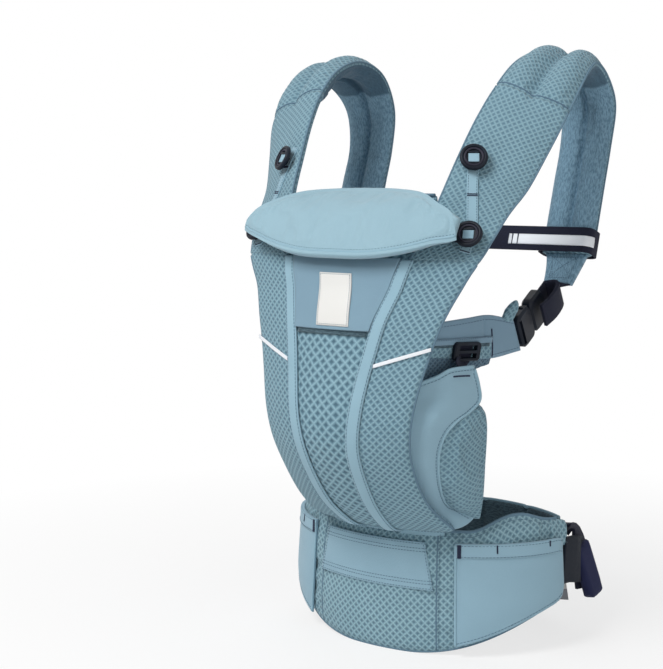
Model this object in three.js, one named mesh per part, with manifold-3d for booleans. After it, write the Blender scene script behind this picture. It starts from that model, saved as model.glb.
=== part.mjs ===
// A soft baby carrier in the shape that it has on a torso: the waist belt closed in a ring, the
// body panel bulging in front of it, and both shoulder straps arched over the shoulders.
// Millimetres, +Z up. The panel faces -Y, and +X is the viewer's right. The origin is the centre of
// the belt's ring, at the height of the belt's lowest edge.
import * as THREE from 'three';
import { mergeVertices } from 'three/addons/utils/BufferGeometryUtils.js';
import Module from 'manifold-3d';

const wasm = await Module();
wasm.setup();

// Common values
const clearance = 0.3; // between any two pieces that touch
const overrun = 5; // how far a cut runs past the face that it opens
const weldDistance = 1e-4; // between corners that are one
const webbingThickness = 1.6;
const fabricThickness = 1.8; // tapes, hems and smooth fabric covers
const trimThickness = 1;

// Waist belt: an oval ring of padded fabric whose two ends stop at the sides
const beltHalfWidth = 144;
const beltHalfDepth = 108;
const beltHeight = 117;
const beltThickness = 15;
const beltEdgeThickness = 8;
const beltReachAngle = THREE.MathUtils.degToRad(84);
const beltEndRise = 46; // the lower edge climbs this far from the front to the ends
const beltFlatShare = 0.12; // the lower edge stays level over this share of its half width
const beltRisePower = 2.4;
const beltHump = 16; // the upper edge's low hump over each hip
const beltHumpShares = [0.59, 0.84]; // of the half width, over which the hump rises
const beltEndDrop = 9; // and how far the edge comes down again beyond it
const beltDropShare = 0.86;
const beltFlare = 7; // how much wider the ring is at its foot than at its top

// Front sleeve and hip pockets, sewn on the belt's outer face
const sleeveTopHalfWidth = 55;
const sleeveBottomHalfWidth = 63;
const sleeveBottom = 62;
const sleeveTop = 107;
const pocketStart = 79; // distance of the pocket's front edge from the middle
const pocketTop = 108;
const pocketThickness = 4;
const pocketHemHeight = 14;
const pocketHemLift = 1.2;

// Lumbar pad at the back of the belt, and the webbing that joins it to the belt's ends
const lumbarStartAngle = THREE.MathUtils.degToRad(132);
const lumbarBottom = 36;
const lumbarTop = 104;
const lumbarThickness = 16;
const waistWebbingWidth = 45;
const waistWebbingHeight = 80; // height of the webbing's centre line
const waistTailWidth = 24;
const waistTailLift = 26; // how far the webbing's loose end stands out from the ring
const waistTailDrop = 43; // and how far below the webbing's middle it hangs
const waistTailRoot = 8;
const careLabelWidth = 9;
const careLabelHeight = 24;

// Body panel, from its seam on the belt up to its top behind the head support
const panelTop = 430;
const panelBulge = 98; // how far it stands in front of the belt
const panelHalfWidth = 118; // at the level where the shoulder straps leave it
const panelSetback = 22; // how far its outer edges lie behind its middle
const panelThickness = 6;
const sideEdgeThickness = 9;
const sideEdgeShares = [0.4, 0.9]; // of a side's width, over which it thickens to its edge
const tapeWidth = 12;
const bibBottom = 312;
const bibTop = 375;
const stripeWidth = 3.2;
const stripeInnerHeight = 281;
const stripeOuterHeight = 297;
const labelWidth = 31;
const labelHeight = 46;
const labelCentreHeight = 338;

// Shoulder straps
const strapHalfSpread = 125; // from the middle to the centre line of a rear leg
const strapReach = 206; // scale of the straps' places in depth
const strapTop = 560;
const strapLegThickness = 12;
const strapEdgeThickness = 6;
const padChannelThickness = 22;
const padGrooveThickness = 10;
const padEdgeThickness = 9;
const endTabHeight = 27;
const endTabThickness = 5;
const endTabTipWidth = 28;
const endTabSlopeShare = 0.7; // how far it comes forward, of its height

// Buttons, their tape, and the elastic loops of the head support
const buttonRadius = 12.5;
const buttonHeight = 7.5;
const buttonNeckRadius = 5;
const buttonNeckHeight = 3.2;
const buttonDishDepth = 2;
const buttonTapeWidth = 9.5;
const loopWidth = 5;
const loopReach = 19;

// Head support: a flat pad hinged on its upper edge
const headTipX = 112;
const headTipY = -166;
const headTipZ = 401;
const headTipHeight = 7;
const headHingeY = -125;
const headHingeZ = 434;
const headFrontY = -190;
const headFrontZ = 377;
const headFrontCrown = 14;
const headBackCrown = 6;
const headEdgeThickness = 5;

// Side wings with their buckles, and the straps' webbing
const wingEndX = 119;
const wingEndY = -66;
const wingEndZ = 303;
const wingEndHeight = 34;
const wingRootHeights = [291, 322]; // of its lower and upper edges on the panel
const wingThickness = 6;
const strapWebbingWidth = 25;
const sideTailLift = 15; // how far the folded tail stands outside the buckle's middle

// Thigh pads and seat-width sliders
const thighReachX = 110;
const thighReachY = -150;
const thighTop = 281;
const thighBottom = 131;
const thighCoverThickness = 6;
const bolsterThickness = 16;
// Between the two thigh pads, whose facing edges are uneven, at the seam's foot and at its top
const seamClearances = [1.3, 5.2];
const bolsterEdgeThickness = 5;
const sliderLength = 30;
const sliderHeight = 17;
const sliderThickness = 5;
const sliderBarWidth = 2.5;
const sliderLift = 0.6; // play between the slider and the wing

// Cross strap between the two rear legs
const crossWidth = 24;
const crossHeight = 383;
const crossSlack = 0.5; // gap between the strap's loop and the leg that it slides on

// Three sizes of side-release buckle
const sideBuckle = {
  webbing: strapWebbingWidth, width: 34, length: 26, base: 28, thickness: 11,
  wall: 2, arm: 14, armWidth: 4, tongue: 10, corner: 5,
};
const waistBuckle = {
  webbing: waistWebbingWidth, width: 56, length: 28, base: 28, thickness: 12,
  wall: 2.2, arm: 14, armWidth: 5, tongue: 24, corner: 6,
};
const crossBuckle = {
  webbing: crossWidth, width: 32, length: 22, base: 24, thickness: 9,
  wall: 1.8, arm: 11, armWidth: 3.6, tongue: 9, corner: 4,
};
const buckleGap = 0.5; // between the sliding halves of a buckle
const buckleGrip = 2; // how much webbing is inside the male half

// Finishes
const finish = (color, roughness, metalness = 0) =>
  new THREE.MeshStandardMaterial({ color, roughness, metalness });
const meshFabric = finish(0x7fa3ad, 0.9);
const smoothFabric = finish(0x93b4c0, 0.75);
const shadedFabric = finish(0x6c8d9b, 0.9);
const blackWebbing = finish(0x23232b, 0.8);
const blackPlastic = finish(0x1d1d24, 0.45);
const reflectiveTape = finish(0xe8ebee, 0.4);
const whiteLabel = finish(0xf2f0ec, 0.7);

// Small helpers
const point = (x, y, z) => new THREE.Vector3(x, y, z);
const mix = THREE.MathUtils.lerp;
const ease = THREE.MathUtils.smoothstep;
const along = (curve, share) => curve.getPoint(THREE.MathUtils.clamp(share, 0, 1));
const smoothCurve = (points) => new THREE.CatmullRomCurve3(points, false, 'catmullrom', 0.5);
const steady = (value) => () => value;

// 1 over most of a sheet, falling to 0 at all four edges.
const crown = (u, v, power = 4) =>
  (1 - Math.abs(2 * u - 1) ** power) * (1 - Math.abs(2 * v - 1) ** power);

// The unit normal of the surface place(u, v), to the side that u turned towards v gives.
const probeShare = 1e-3;
function normalOf(place, u, v) {
  const du = place(Math.min(u + probeShare, 1), v).sub(place(Math.max(u - probeShare, 0), v));
  const dv = place(u, Math.min(v + probeShare, 1)).sub(place(u, Math.max(v - probeShare, 0)));
  return du.cross(dv).normalize();
}

// A closed slab over the surface place(u, v), from low(u, v) to high(u, v) along its normal.
function slab(place, low, high, stepsU, stepsV, outward = normalOf.bind(null, place)) {
  const positions = [];
  const triangles = [];
  const corner = (face, i, j) => (face * (stepsU + 1) + i) * (stepsV + 1) + j;
  const quad = (a, b, c, d) => triangles.push(a, b, c, a, c, d);
  for (const offset of [low, high]) {
    for (let i = 0; i <= stepsU; i += 1) {
      for (let j = 0; j <= stepsV; j += 1) {
        const [u, v] = [i / stepsU, j / stepsV];
        const normal = outward(u, v);
        positions.push(...place(u, v).addScaledVector(normal, offset(u, v)).toArray());
      }
    }
  }
  for (let i = 0; i < stepsU; i += 1) {
    for (let j = 0; j < stepsV; j += 1) {
      quad(corner(1, i, j), corner(1, i + 1, j), corner(1, i + 1, j + 1), corner(1, i, j + 1));
      quad(corner(0, i, j), corner(0, i, j + 1), corner(0, i + 1, j + 1), corner(0, i + 1, j));
    }
    const last = stepsV;
    quad(corner(0, i, 0), corner(0, i + 1, 0), corner(1, i + 1, 0), corner(1, i, 0));
    quad(corner(0, i + 1, last), corner(0, i, last), corner(1, i, last), corner(1, i + 1, last));
  }
  for (let j = 0; j < stepsV; j += 1) {
    const last = stepsU;
    quad(corner(0, 0, j + 1), corner(0, 0, j), corner(1, 0, j), corner(1, 0, j + 1));
    quad(corner(0, last, j), corner(0, last, j + 1), corner(1, last, j + 1), corner(1, last, j));
  }
  const geometry = new THREE.BufferGeometry();
  geometry.setAttribute('position', new THREE.Float32BufferAttribute(positions, 3));
  geometry.setIndex(triangles);
  geometry.computeVertexNormals();
  return geometry;
}

// A slab whose middle surface is place, thicker in the middle than at its edges.
function pad(place, edge, middle, stepsU, stepsV, outward) {
  const half = (u, v) => mix(edge, middle, crown(u, v, 2.5)) / 2;
  return slab(place, (u, v) => -half(u, v), half, stepsU, stepsV, outward);
}

// A flat band of even width that follows a curve, with its width along one direction.
function band(curve, widthDirection, width, thickness, steps) {
  const place = (u, v) => along(curve, u).addScaledVector(widthDirection, (v - 1 / 2) * width);
  return slab(place, steady(-thickness / 2), steady(thickness / 2), steps, 1);
}

// The same, with its width turning from one direction to another between two shares of its length.
function twistedBand(curve, from, to, turnShares, width, thickness, steps) {
  const place = (u, v) => {
    const direction = from.clone().lerp(to, ease(u, ...turnShares)).normalize();
    return along(curve, u).addScaledVector(direction, (v - 1 / 2) * width);
  };
  return slab(place, steady(-thickness / 2), steady(thickness / 2), steps, 2);
}

// The surface between four curves: low and high run along u, start and end along v.
function patch(low, high, start, end) {
  return (u, v) => {
    const corners = along(low, 0).multiplyScalar((1 - u) * (1 - v))
      .addScaledVector(along(low, 1), u * (1 - v))
      .addScaledVector(along(high, 0), (1 - u) * v)
      .addScaledVector(along(high, 1), u * v);
    return along(low, u).multiplyScalar(1 - v)
      .addScaledVector(along(high, u), v)
      .addScaledVector(along(start, v), 1 - u)
      .addScaledVector(along(end, v), u)
      .sub(corners);
  };
}

// The same shape on the other side of the middle plane.
function mirrored(geometry) {
  const copy = geometry.clone().scale(-1, 1, 1);
  const index = copy.index.array;
  for (let i = 0; i < index.length; i += 3) [index[i], index[i + 1]] = [index[i + 1], index[i]];
  copy.computeVertexNormals();
  return copy;
}

const carrier = new THREE.Group();
function add(name, geometry, material, parent = carrier) {
  const mesh = new THREE.Mesh(geometry, material);
  mesh.name = name;
  parent.add(mesh);
  return mesh;
}
function addPair(name, geometry, material) {
  add(`${name}_right`, geometry, material);
  add(`${name}_left`, mirrored(geometry), material);
}

// Solid arithmetic
function solid(geometry) {
  const bare = geometry.clone();
  bare.deleteAttribute('normal');
  bare.deleteAttribute('uv');
  const merged = mergeVertices(bare, weldDistance);
  return new wasm.Manifold(new wasm.Mesh({
    numProp: 3,
    vertProperties: new Float32Array(merged.attributes.position.array),
    triVerts: new Uint32Array(merged.index.array),
  }));
}
function shapeOf(manifold) {
  const mesh = manifold.getMesh();
  const geometry = new THREE.BufferGeometry();
  geometry.setAttribute('position', new THREE.Float32BufferAttribute(mesh.vertProperties, 3));
  geometry.setIndex(Array.from(mesh.triVerts));
  geometry.computeVertexNormals();
  return geometry;
}
function block(x0, x1, halfY, halfZ, centreY = 0) {
  const geometry = new THREE.BoxGeometry(x1 - x0, 2 * halfY, 2 * halfZ);
  return solid(geometry.translate((x0 + x1) / 2, centreY, 0));
}
// A plate with round corners and softened edges, from x0 to x1.
function roundedPlate(x0, x1, width, thickness, radius) {
  const bevel = thickness / 5;
  const [a, b] = [x0 + bevel, x1 - bevel];
  const h = width / 2 - bevel;
  const outline = new THREE.Shape();
  outline.moveTo(a + radius, -h);
  outline.lineTo(b - radius, -h);
  outline.absarc(b - radius, -h + radius, radius, -Math.PI / 2, 0);
  outline.lineTo(b, h - radius);
  outline.absarc(b - radius, h - radius, radius, 0, Math.PI / 2);
  outline.lineTo(a + radius, h);
  outline.absarc(a + radius, h - radius, radius, Math.PI / 2, Math.PI);
  outline.lineTo(a, -h + radius);
  outline.absarc(a + radius, -h + radius, radius, Math.PI, 1.5 * Math.PI);
  const geometry = new THREE.ExtrudeGeometry(outline, {
    depth: thickness - 2 * bevel, bevelThickness: bevel, bevelSize: bevel, bevelSegments: 1,
    curveSegments: 3,
  });
  return solid(geometry.translate(0, 0, -thickness / 2 + bevel));
}

// Waist belt
// A point of the belt's outer face. The angle runs from the front towards the viewer's right.
function beltPoint(angle, height) {
  const flare = beltFlare * (1 - Math.min(height / beltHeight, 1));
  const [halfWidth, halfDepth] = [beltHalfWidth + flare, beltHalfDepth + flare];
  return point(halfWidth * Math.sin(angle), -halfDepth * Math.cos(angle), height);
}
const beltOutward = (angle) =>
  point(Math.sin(angle) / beltHalfWidth, -Math.cos(angle) / beltHalfDepth, 0).normalize();
const beltBottomAt = (angle) => {
  const share = Math.max(0, (Math.abs(Math.sin(angle)) - beltFlatShare) / (1 - beltFlatShare));
  return beltEndRise * share ** beltRisePower;
};
const beltTopAt = (angle) => {
  const share = Math.abs(Math.sin(angle));
  return beltHeight + beltHump * ease(share, ...beltHumpShares)
    - beltEndDrop * ease(share, beltDropShare, 1);
};
const beltAngleAt = (x) => Math.asin(x / beltHalfWidth);

function makeBelt() {
  const angleAt = (u) => mix(-beltReachAngle, beltReachAngle, u);
  const place = (u, v) =>
    beltPoint(angleAt(u), mix(beltBottomAt(angleAt(u)), beltTopAt(angleAt(u)), v));
  const outward = (u) => beltOutward(angleAt(u));
  const inset = (u, v) => (beltThickness - beltEdgeThickness) / 2 * (1 - crown(u, v, 6));
  return slab(place, (u, v) => inset(u, v) - beltThickness, (u, v) => -inset(u, v), 36, 4, outward);
}
add('waist_belt', makeBelt(), meshFabric);

function makeSleeve() {
  const place = (u, v) => {
    const half = beltAngleAt(mix(sleeveBottomHalfWidth, sleeveTopHalfWidth, v));
    return beltPoint(mix(-half, half, u), mix(sleeveBottom, sleeveTop, v));
  };
  return slab(place, steady(clearance), steady(clearance + fabricThickness), 12, 2);
}
add('belt_sleeve', makeSleeve(), smoothFabric);

// A pocket's hem band stands proud of the rest of the pocket.
function makePocket() {
  const start = beltAngleAt(pocketStart);
  const end = beltReachAngle - fabricThickness / beltHalfDepth;
  const place = (u, v) => {
    const angle = mix(start, end, u);
    const low = beltBottomAt(angle) + beltEdgeThickness / 2;
    return beltPoint(angle, mix(low, pocketTop, v));
  };
  const hemShare = 1 - pocketHemHeight / (pocketTop - beltEndRise / 2);
  const high = (u, v) => clearance + fabricThickness
    + (pocketThickness - fabricThickness) * crown(u, v)
    + (v > hemShare ? pocketHemLift : 0);
  return slab(place, steady(clearance), high, 12, 6);
}
addPair('belt_pocket', makePocket(), smoothFabric);

function makeLumbarPad() {
  const place = (u, v) =>
    beltPoint(mix(lumbarStartAngle, 2 * Math.PI - lumbarStartAngle, u), mix(lumbarBottom, lumbarTop, v));
  const inset = (u, v) => (lumbarThickness - beltEdgeThickness) / 2 * (1 - crown(u, v));
  return slab(place, (u, v) => inset(u, v) - lumbarThickness, (u, v) => -inset(u, v), 16, 4);
}
add('lumbar_pad', makeLumbarPad(), meshFabric);

// Body panel
// Stations from the belt's seam upwards: height and bulge as shares of the panel's, and the places
// of the binding tape's centre line and of the outer edge as shares of the panel's half width.
const panelShares = [
  [0.002, -0.03, 0.165, 0.7],
  [0.018, 0.2, 0.175, 0.67],
  [0.1, 0.556, 0.205, 0.622],
  [0.2, 0.81, 0.222, 0.618],
  [0.295, 0.965, 0.24, 0.64],
  [0.385, 1, 0.272, 0.674],
  [0.475, 0.96, 0.307, 0.716],
  [0.56, 0.9, 0.348, 0.77],
  [0.65, 0.835, 0.4, 0.838],
  [0.735, 0.73, 0.472, 0.915],
  [0.82, 0.65, 0.534, 1],
  [0.9, 0.4, 0.585, 1.06],
  [1, 0.168, 0.55, 1.1],
];
const panelSteps = 24;
const sidePanelSteps = 20; // the same steps, for the pieces that end where the straps start

const panelStations = panelShares.map(([height, bulge, tape, edge]) => ({
  tape: panelHalfWidth * tape,
  edge: panelHalfWidth * edge,
  y: -(beltHalfDepth + panelBulge * bulge),
  z: mix(beltHeight, panelTop, height),
}));
const tapeCurve = smoothCurve(panelStations.map(({ tape, y, z }) => point(tape, y, z)));
const edgeCurve = smoothCurve(panelStations.map(({ edge, y, z }) => point(edge, y, z)));
const panelSplit = sidePanelSteps / panelSteps; // where the shoulder straps leave the panel

// A point of the panel's front face, by its distance from the middle and its place upwards.
function panelPoint(x, v) {
  const { y, z } = along(tapeCurve, v);
  return point(x, y + panelSetback * (x / along(edgeCurve, v).x) ** 2, z);
}
const tapeX = (v) => along(tapeCurve, v).x;
const edgeX = (v) => along(edgeCurve, v).x;
// The place upwards at which the panel has a given height.
function panelShareAt(height) {
  let [low, high] = [0, 1];
  for (let i = 0; i < 24; i += 1) {
    const middle = (low + high) / 2;
    if (along(tapeCurve, middle).z < height) low = middle;
    else high = middle;
  }
  return low;
}

const panelFront = steady(0);
const seamGap = clearance / 2;
add('panel_center', slab(
  (u, v) => panelPoint((2 * u - 1) * (tapeX(v) - seamGap), v),
  steady(-panelThickness), panelFront, 6, panelSteps,
), meshFabric);

function makeSidePanel() {
  const place = (u, v) => {
    const share = v * panelSplit;
    return panelPoint(mix(tapeX(share) + seamGap, edgeX(share), u), share);
  };
  const low = (u) => -mix(panelThickness, sideEdgeThickness, ease(u, ...sideEdgeShares));
  return slab(place, low, panelFront, 4, sidePanelSteps);
}
addPair('panel_side', makeSidePanel(), meshFabric);

function makeBindingTape() {
  const place = (u, v) => {
    const share = v * panelSplit;
    return panelPoint(tapeX(share) + (u - 1 / 2) * tapeWidth, share);
  };
  return slab(place, steady(clearance), steady(clearance + fabricThickness), 2, sidePanelSteps);
}
addPair('binding_tape', makeBindingTape(), smoothFabric);

const besideTape = tapeWidth / 2 + clearance;
function makeBib() {
  const [low, high] = [panelShareAt(bibBottom), panelShareAt(bibTop)];
  const place = (u, v) => {
    const share = mix(low, high, v);
    return panelPoint((2 * u - 1) * (tapeX(share) - besideTape), share);
  };
  return slab(place, steady(clearance), steady(clearance + fabricThickness), 6, 10);
}
add('bib_panel', makeBib(), smoothFabric);

function makeLabel() {
  const low = panelShareAt(labelCentreHeight - labelHeight / 2);
  const high = panelShareAt(labelCentreHeight + labelHeight / 2);
  const place = (u, v) => panelPoint((u - 1 / 2) * labelWidth, mix(low, high, v));
  const seat = fabricThickness + 2 * clearance;
  return slab(place, steady(seat), steady(seat + trimThickness), 3, 4);
}
add('label_tab', makeLabel(), whiteLabel);

function makeStripe() {
  const inner = panelShareAt(stripeInnerHeight);
  const outer = panelShareAt(stripeOuterHeight);
  const place = (u, v) => {
    const share = mix(inner, outer, u);
    const lift = panelShareAt(mix(stripeInnerHeight, stripeOuterHeight, u) + stripeWidth) - share;
    const x = mix(tapeX(share) + besideTape + clearance, edgeX(share), u);
    return panelPoint(x, share + v * lift);
  };
  return slab(place, steady(clearance), steady(clearance + trimThickness), 6, 1);
}
addPair('reflective_stripe', makeStripe(), reflectiveTape);

// Shoulder straps
// The inner and outer edges of the right strap's middle surface, from the panel over the shoulder
// and down the back, as shares of its spread, reach and top.
const strapShares = [
  [[0.58, -0.72, 0.71], [1.03, -0.628, 0.706]],
  [[0.612, -0.69, 0.743], [1.075, -0.545, 0.74]],
  [[0.645, -0.65, 0.776], [1.13, -0.45, 0.776]],
  [[0.68, -0.558, 0.83], [1.205, -0.364, 0.83]],
  [[0.72, -0.456, 0.885], [1.278, -0.282, 0.885]],
  [[0.76, -0.33, 0.937], [1.305, -0.184, 0.93]],
  [[0.784, -0.165, 0.981], [1.3, -0.068, 0.966]],
  [[0.792, 0.039, 1], [1.275, 0.055, 0.98]],
  [[0.786, 0.235, 0.98], [1.245, 0.215, 0.957]],
  [[0.782, 0.335, 0.92], [1.225, 0.32, 0.915]],
];
// The rear leg is straight, so its stations lie evenly between these two.
const legTopShares = [[0.785, 0.316, 0.85], [1.195, 0.316, 0.85]];
const legEndShares = [[0.785, 0.141, 0.665], [1.195, 0.141, 0.665]];
const legSteps = 3;

const strapPoint = ([x, y, z]) => point(strapHalfSpread * x, strapReach * y, strapTop * z);
function strapEdge(side) {
  const start = panelPoint([tapeX(panelSplit), edgeX(panelSplit)][side], panelSplit);
  const back = panelThickness / 2;
  const points = [start.add(point(4 * clearance * (1 - side), back, clearance))];
  for (const station of strapShares) points.push(strapPoint(station[side]));
  const legTop = strapPoint(legTopShares[side]);
  const legEnd = strapPoint(legEndShares[side]);
  for (let i = 0; i <= legSteps; i += 1) {
    points.push(legTop.clone().lerp(legEnd, i / legSteps));
  }
  return smoothCurve(points);
}
const strapInner = strapEdge(0);
const strapOuter = strapEdge(1);
const strapStations = strapInner.points.length - 1;
const strapAt = (u, share) => along(strapInner, share).lerp(along(strapOuter, share), u);
const strapNormal = (u, share) => normalOf(strapAt, u, share);

// The place along the strap at which the padded part starts, across its width.
const padStationShares = [6.1, 5.25]; // in stations
const padStart = (u) => mix(...padStationShares, u) / strapStations;
const strapGapShare = 2 * clearance / strapInner.getLength();

const legHalfAt = (u) => mix(strapEdgeThickness, strapLegThickness, 1 - (2 * u - 1) ** 4) / 2;
function makeStrapFront() {
  const place = (u, v) => strapAt(u, v * padStart(u));
  return slab(place, (u) => -legHalfAt(u), legHalfAt, 4, 16);
}
addPair('strap_front', makeStrapFront(), meshFabric);

// Two round channels side by side with a sewn groove between them.
const channels = (u) => {
  const inside = Math.abs(Math.sin(2 * Math.PI * u)) ** 0.6;
  const valley = mix(padEdgeThickness, padGrooveThickness, 1 - Math.abs(2 * u - 1));
  return mix(valley, padChannelThickness, inside) / 2;
};
function makeStrapPad() {
  const place = (u, v) => strapAt(u, mix(padStart(u) + strapGapShare, 1, v));
  return slab(place, (u) => -channels(u), channels, 10, 26);
}
addPair('strap_pad', makeStrapPad(), meshFabric);

// The rear leg's own directions: down its length, across it, and out of its outer face.
const legEnd = strapAt(1 / 2, 1);
const legDown = legEnd.clone().sub(strapAt(1 / 2, 1 - 1 / strapStations)).normalize();
const legAcross = point(1, 0, 0);
const legOut = legDown.clone().cross(legAcross).negate();

const tabTop = legEnd.clone().addScaledVector(legDown, clearance);
const tabTip = tabTop.clone().add(point(0, -endTabHeight * endTabSlopeShare, -endTabHeight));
const tabLine = new THREE.QuadraticBezierCurve3(
  tabTop, tabTop.clone().addScaledVector(legDown, endTabHeight / 3), tabTip,
);
function makeEndTab() {
  const topHalf = strapAt(1, 1).distanceTo(strapAt(0, 1)) / 2 - padEdgeThickness / 2;
  const place = (u, v) => along(tabLine, 1 - v)
    .addScaledVector(legAcross, (2 * u - 1) * mix(endTabTipWidth / 2, topHalf, v));
  return slab(place, steady(-endTabThickness / 2), steady(endTabThickness / 2), 6, 5);
}
addPair('strap_end_tab', makeEndTab(), shadedFabric);

// Buttons and their tape, on the outer face of the strap's front leg
const buttonSeats = {
  upper: { across: 0.2, share: 3.8 / strapStations },
  lower: { across: 0.71, share: 0.78 / strapStations },
};
// The rim of a button from its neck outwards, as shares of its radius and height, and its dish.
const rimShares = [[0.94, 0], [1, 0.45], [0.94, 0.93], [0.8, 1], [0.62, 0.95]];
const dishShare = 0.52;
function makeButton() {
  const rim = rimShares.map(([across, up]) =>
    [buttonRadius * across, mix(buttonNeckHeight, buttonHeight, up)]);
  const dish = buttonHeight - buttonDishDepth;
  const profile = [
    [0, 0], [buttonNeckRadius, 0], [buttonNeckRadius, buttonNeckHeight], ...rim,
    [buttonRadius * dishShare, dish], [0, dish],
  ];
  const geometry = new THREE.LatheGeometry(profile.map(([x, y]) => new THREE.Vector2(x, y)), 18);
  return geometry.rotateX(Math.PI / 2);
}
function standOn(mesh, seat, normal) {
  mesh.position.copy(seat);
  mesh.quaternion.setFromUnitVectors(point(0, 0, 1), normal);
}
for (const [level, { across, share }] of Object.entries(buttonSeats)) {
  const normal = strapNormal(across, share);
  const seat = strapAt(across, share)
    .addScaledVector(normal, legHalfAt(across) + fabricThickness + 2 * clearance);
  for (const [side, sign] of [['right', 1], ['left', -1]]) {
    const flip = point(sign, 1, 1);
    const mesh = add(`ring_button_${level}_${side}`, makeButton(), blackPlastic);
    standOn(mesh, seat.clone().multiply(flip), normal.clone().multiply(flip));
  }
}

function makeButtonTape() {
  const { upper, lower } = buttonSeats;
  const overShare = 0.18; // the tape runs on under both buttons
  const place = (u, v) => {
    const t = mix(-overShare, 1 + overShare, v);
    const across = mix(lower.across, upper.across, t);
    const share = mix(lower.share, upper.share, t);
    const widthShare = buttonTapeWidth / strapAt(0, share).distanceTo(strapAt(1, share));
    return strapAt(across + (u - 1 / 2) * widthShare, share);
  };
  const seat = (u, v) => {
    const t = mix(-overShare, 1 + overShare, v);
    return legHalfAt(mix(lower.across, upper.across, t)) + clearance;
  };
  return slab(place, seat, (u, v) => seat(u, v) + fabricThickness, 2, 14);
}
addPair('button_tape', makeButtonTape(), smoothFabric);

// An elastic loop lies round the neck of each lower button and reaches to the head support's tip.
function makeElasticLoop() {
  const { across, share } = buttonSeats.lower;
  const normal = strapNormal(across, share);
  const inner = buttonNeckRadius + clearance;
  const outer = inner + loopWidth;
  const outline = new THREE.Shape();
  outline.moveTo(-loopReach, -loopWidth);
  outline.lineTo(0, -outer);
  outline.absarc(0, 0, outer, -Math.PI / 2, Math.PI / 2);
  outline.lineTo(-loopReach, loopWidth);
  const hole = new THREE.Path();
  hole.absarc(0, 0, inner, 0, 2 * Math.PI);
  outline.holes.push(hole);
  const seat = legHalfAt(across) + fabricThickness + 3 * clearance;
  const geometry = new THREE.ExtrudeGeometry(outline, {
    depth: fabricThickness, bevelEnabled: false, curveSegments: 10,
  });
  const towardsTip = point(-1, 0, 0).projectOnPlane(normal).normalize();
  const basis = new THREE.Matrix4().makeBasis(
    towardsTip.clone().negate(), normal.clone().cross(towardsTip.clone().negate()), normal,
  );
  basis.setPosition(strapAt(across, share).addScaledVector(normal, seat));
  return shapeOf(solid(geometry.applyMatrix4(basis)));
}
addPair('elastic_loop', makeElasticLoop(), blackWebbing);

// Head support
// Points of its two long edges from the middle outwards: the distance from the middle as a share of
// the tips', and the depth and height as shares of the way from the middle's to the tips'.
const headLowShares = [[0.34, 0.1, 0.04], [0.64, 0.42, 0.3], [0.86, 0.72, 0.68]];
const headHighShares = [[0.3, 0.07, 0.02], [0.6, 0.42, 0.12], [0.84, 0.84, 0.48]];
function headEdge(middle, shares, lift) {
  const tip = point(headTipX, headTipY, headTipZ + lift);
  const right = shares.map(([x, y, z]) =>
    point(tip.x * x, mix(middle.y, tip.y, y), mix(middle.z, tip.z, z)));
  right.push(tip);
  const left = right.map(({ x, y, z }) => point(-x, y, z)).reverse();
  return smoothCurve([...left, middle, ...right]);
}
function makeHeadSupport() {
  const half = headTipHeight / 2;
  const low = headEdge(point(0, headFrontY, headFrontZ), headLowShares, -half);
  const high = headEdge(point(0, headHingeY, headHingeZ), headHighShares, half);
  const start = smoothCurve([along(low, 0), along(high, 0)]);
  const end = smoothCurve([along(low, 1), along(high, 1)]);
  const place = patch(low, high, start, end);
  const edge = headEdgeThickness / 2;
  return slab(
    place,
    (u, v) => -edge - headBackCrown * crown(u, v, 2),
    (u, v) => edge + headFrontCrown * crown(u, v, 2),
    22, 8,
  );
}
add('head_support', makeHeadSupport(), smoothFabric);

// Where the straps' end tabs and the wings' ends are, and the line of the side buckles between them
const wingEnd = point(wingEndX, wingEndY, wingEndZ);
const sideSlide = tabTip.clone().sub(wingEnd).setX(0).normalize();
const sideOutward = point(1, 0, 0);
const sideAcross = sideOutward.clone().cross(sideSlide);

// A point behind the panel's outer edge, for the front edges of the wings and the thigh covers.
function behindEdge(height, lift) {
  const share = panelShareAt(height);
  const edge = edgeX(share) - sideEdgeThickness;
  const normal = normalOf((u, v) => panelPoint(edge * u, v), 1, share);
  return panelPoint(edge, share).addScaledVector(normal, -sideEdgeThickness - lift);
}

// Side wings, from the panel's back to the buckles
const wingShares = [[0.4, 0.18], [0.7, 0.3]]; // places along the wing, and how far it sags there
function makeWing() {
  const edge = (side) => {
    const root = behindEdge(wingRootHeights[side], wingThickness / 2);
    const end = wingEnd.clone().addScaledVector(sideAcross, (side - 1 / 2) * wingEndHeight);
    const points = wingShares.map(([share, sag]) => {
      const lift = (side - 1 / 2) * wingEndHeight * sag;
      return root.clone().lerp(end, share).add(point(0, 0, lift));
    });
    return smoothCurve([root, ...points, end]);
  };
  const [low, high] = [edge(0), edge(1)];
  const start = smoothCurve([along(low, 0), along(high, 0)]);
  const end = smoothCurve([along(low, 1), along(high, 1)]);
  return patch(low, high, start, end);
}
const wingPlace = makeWing();
addPair('side_wing', pad(wingPlace, wingThickness / 2, wingThickness, 10, 4), smoothFabric);

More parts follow.
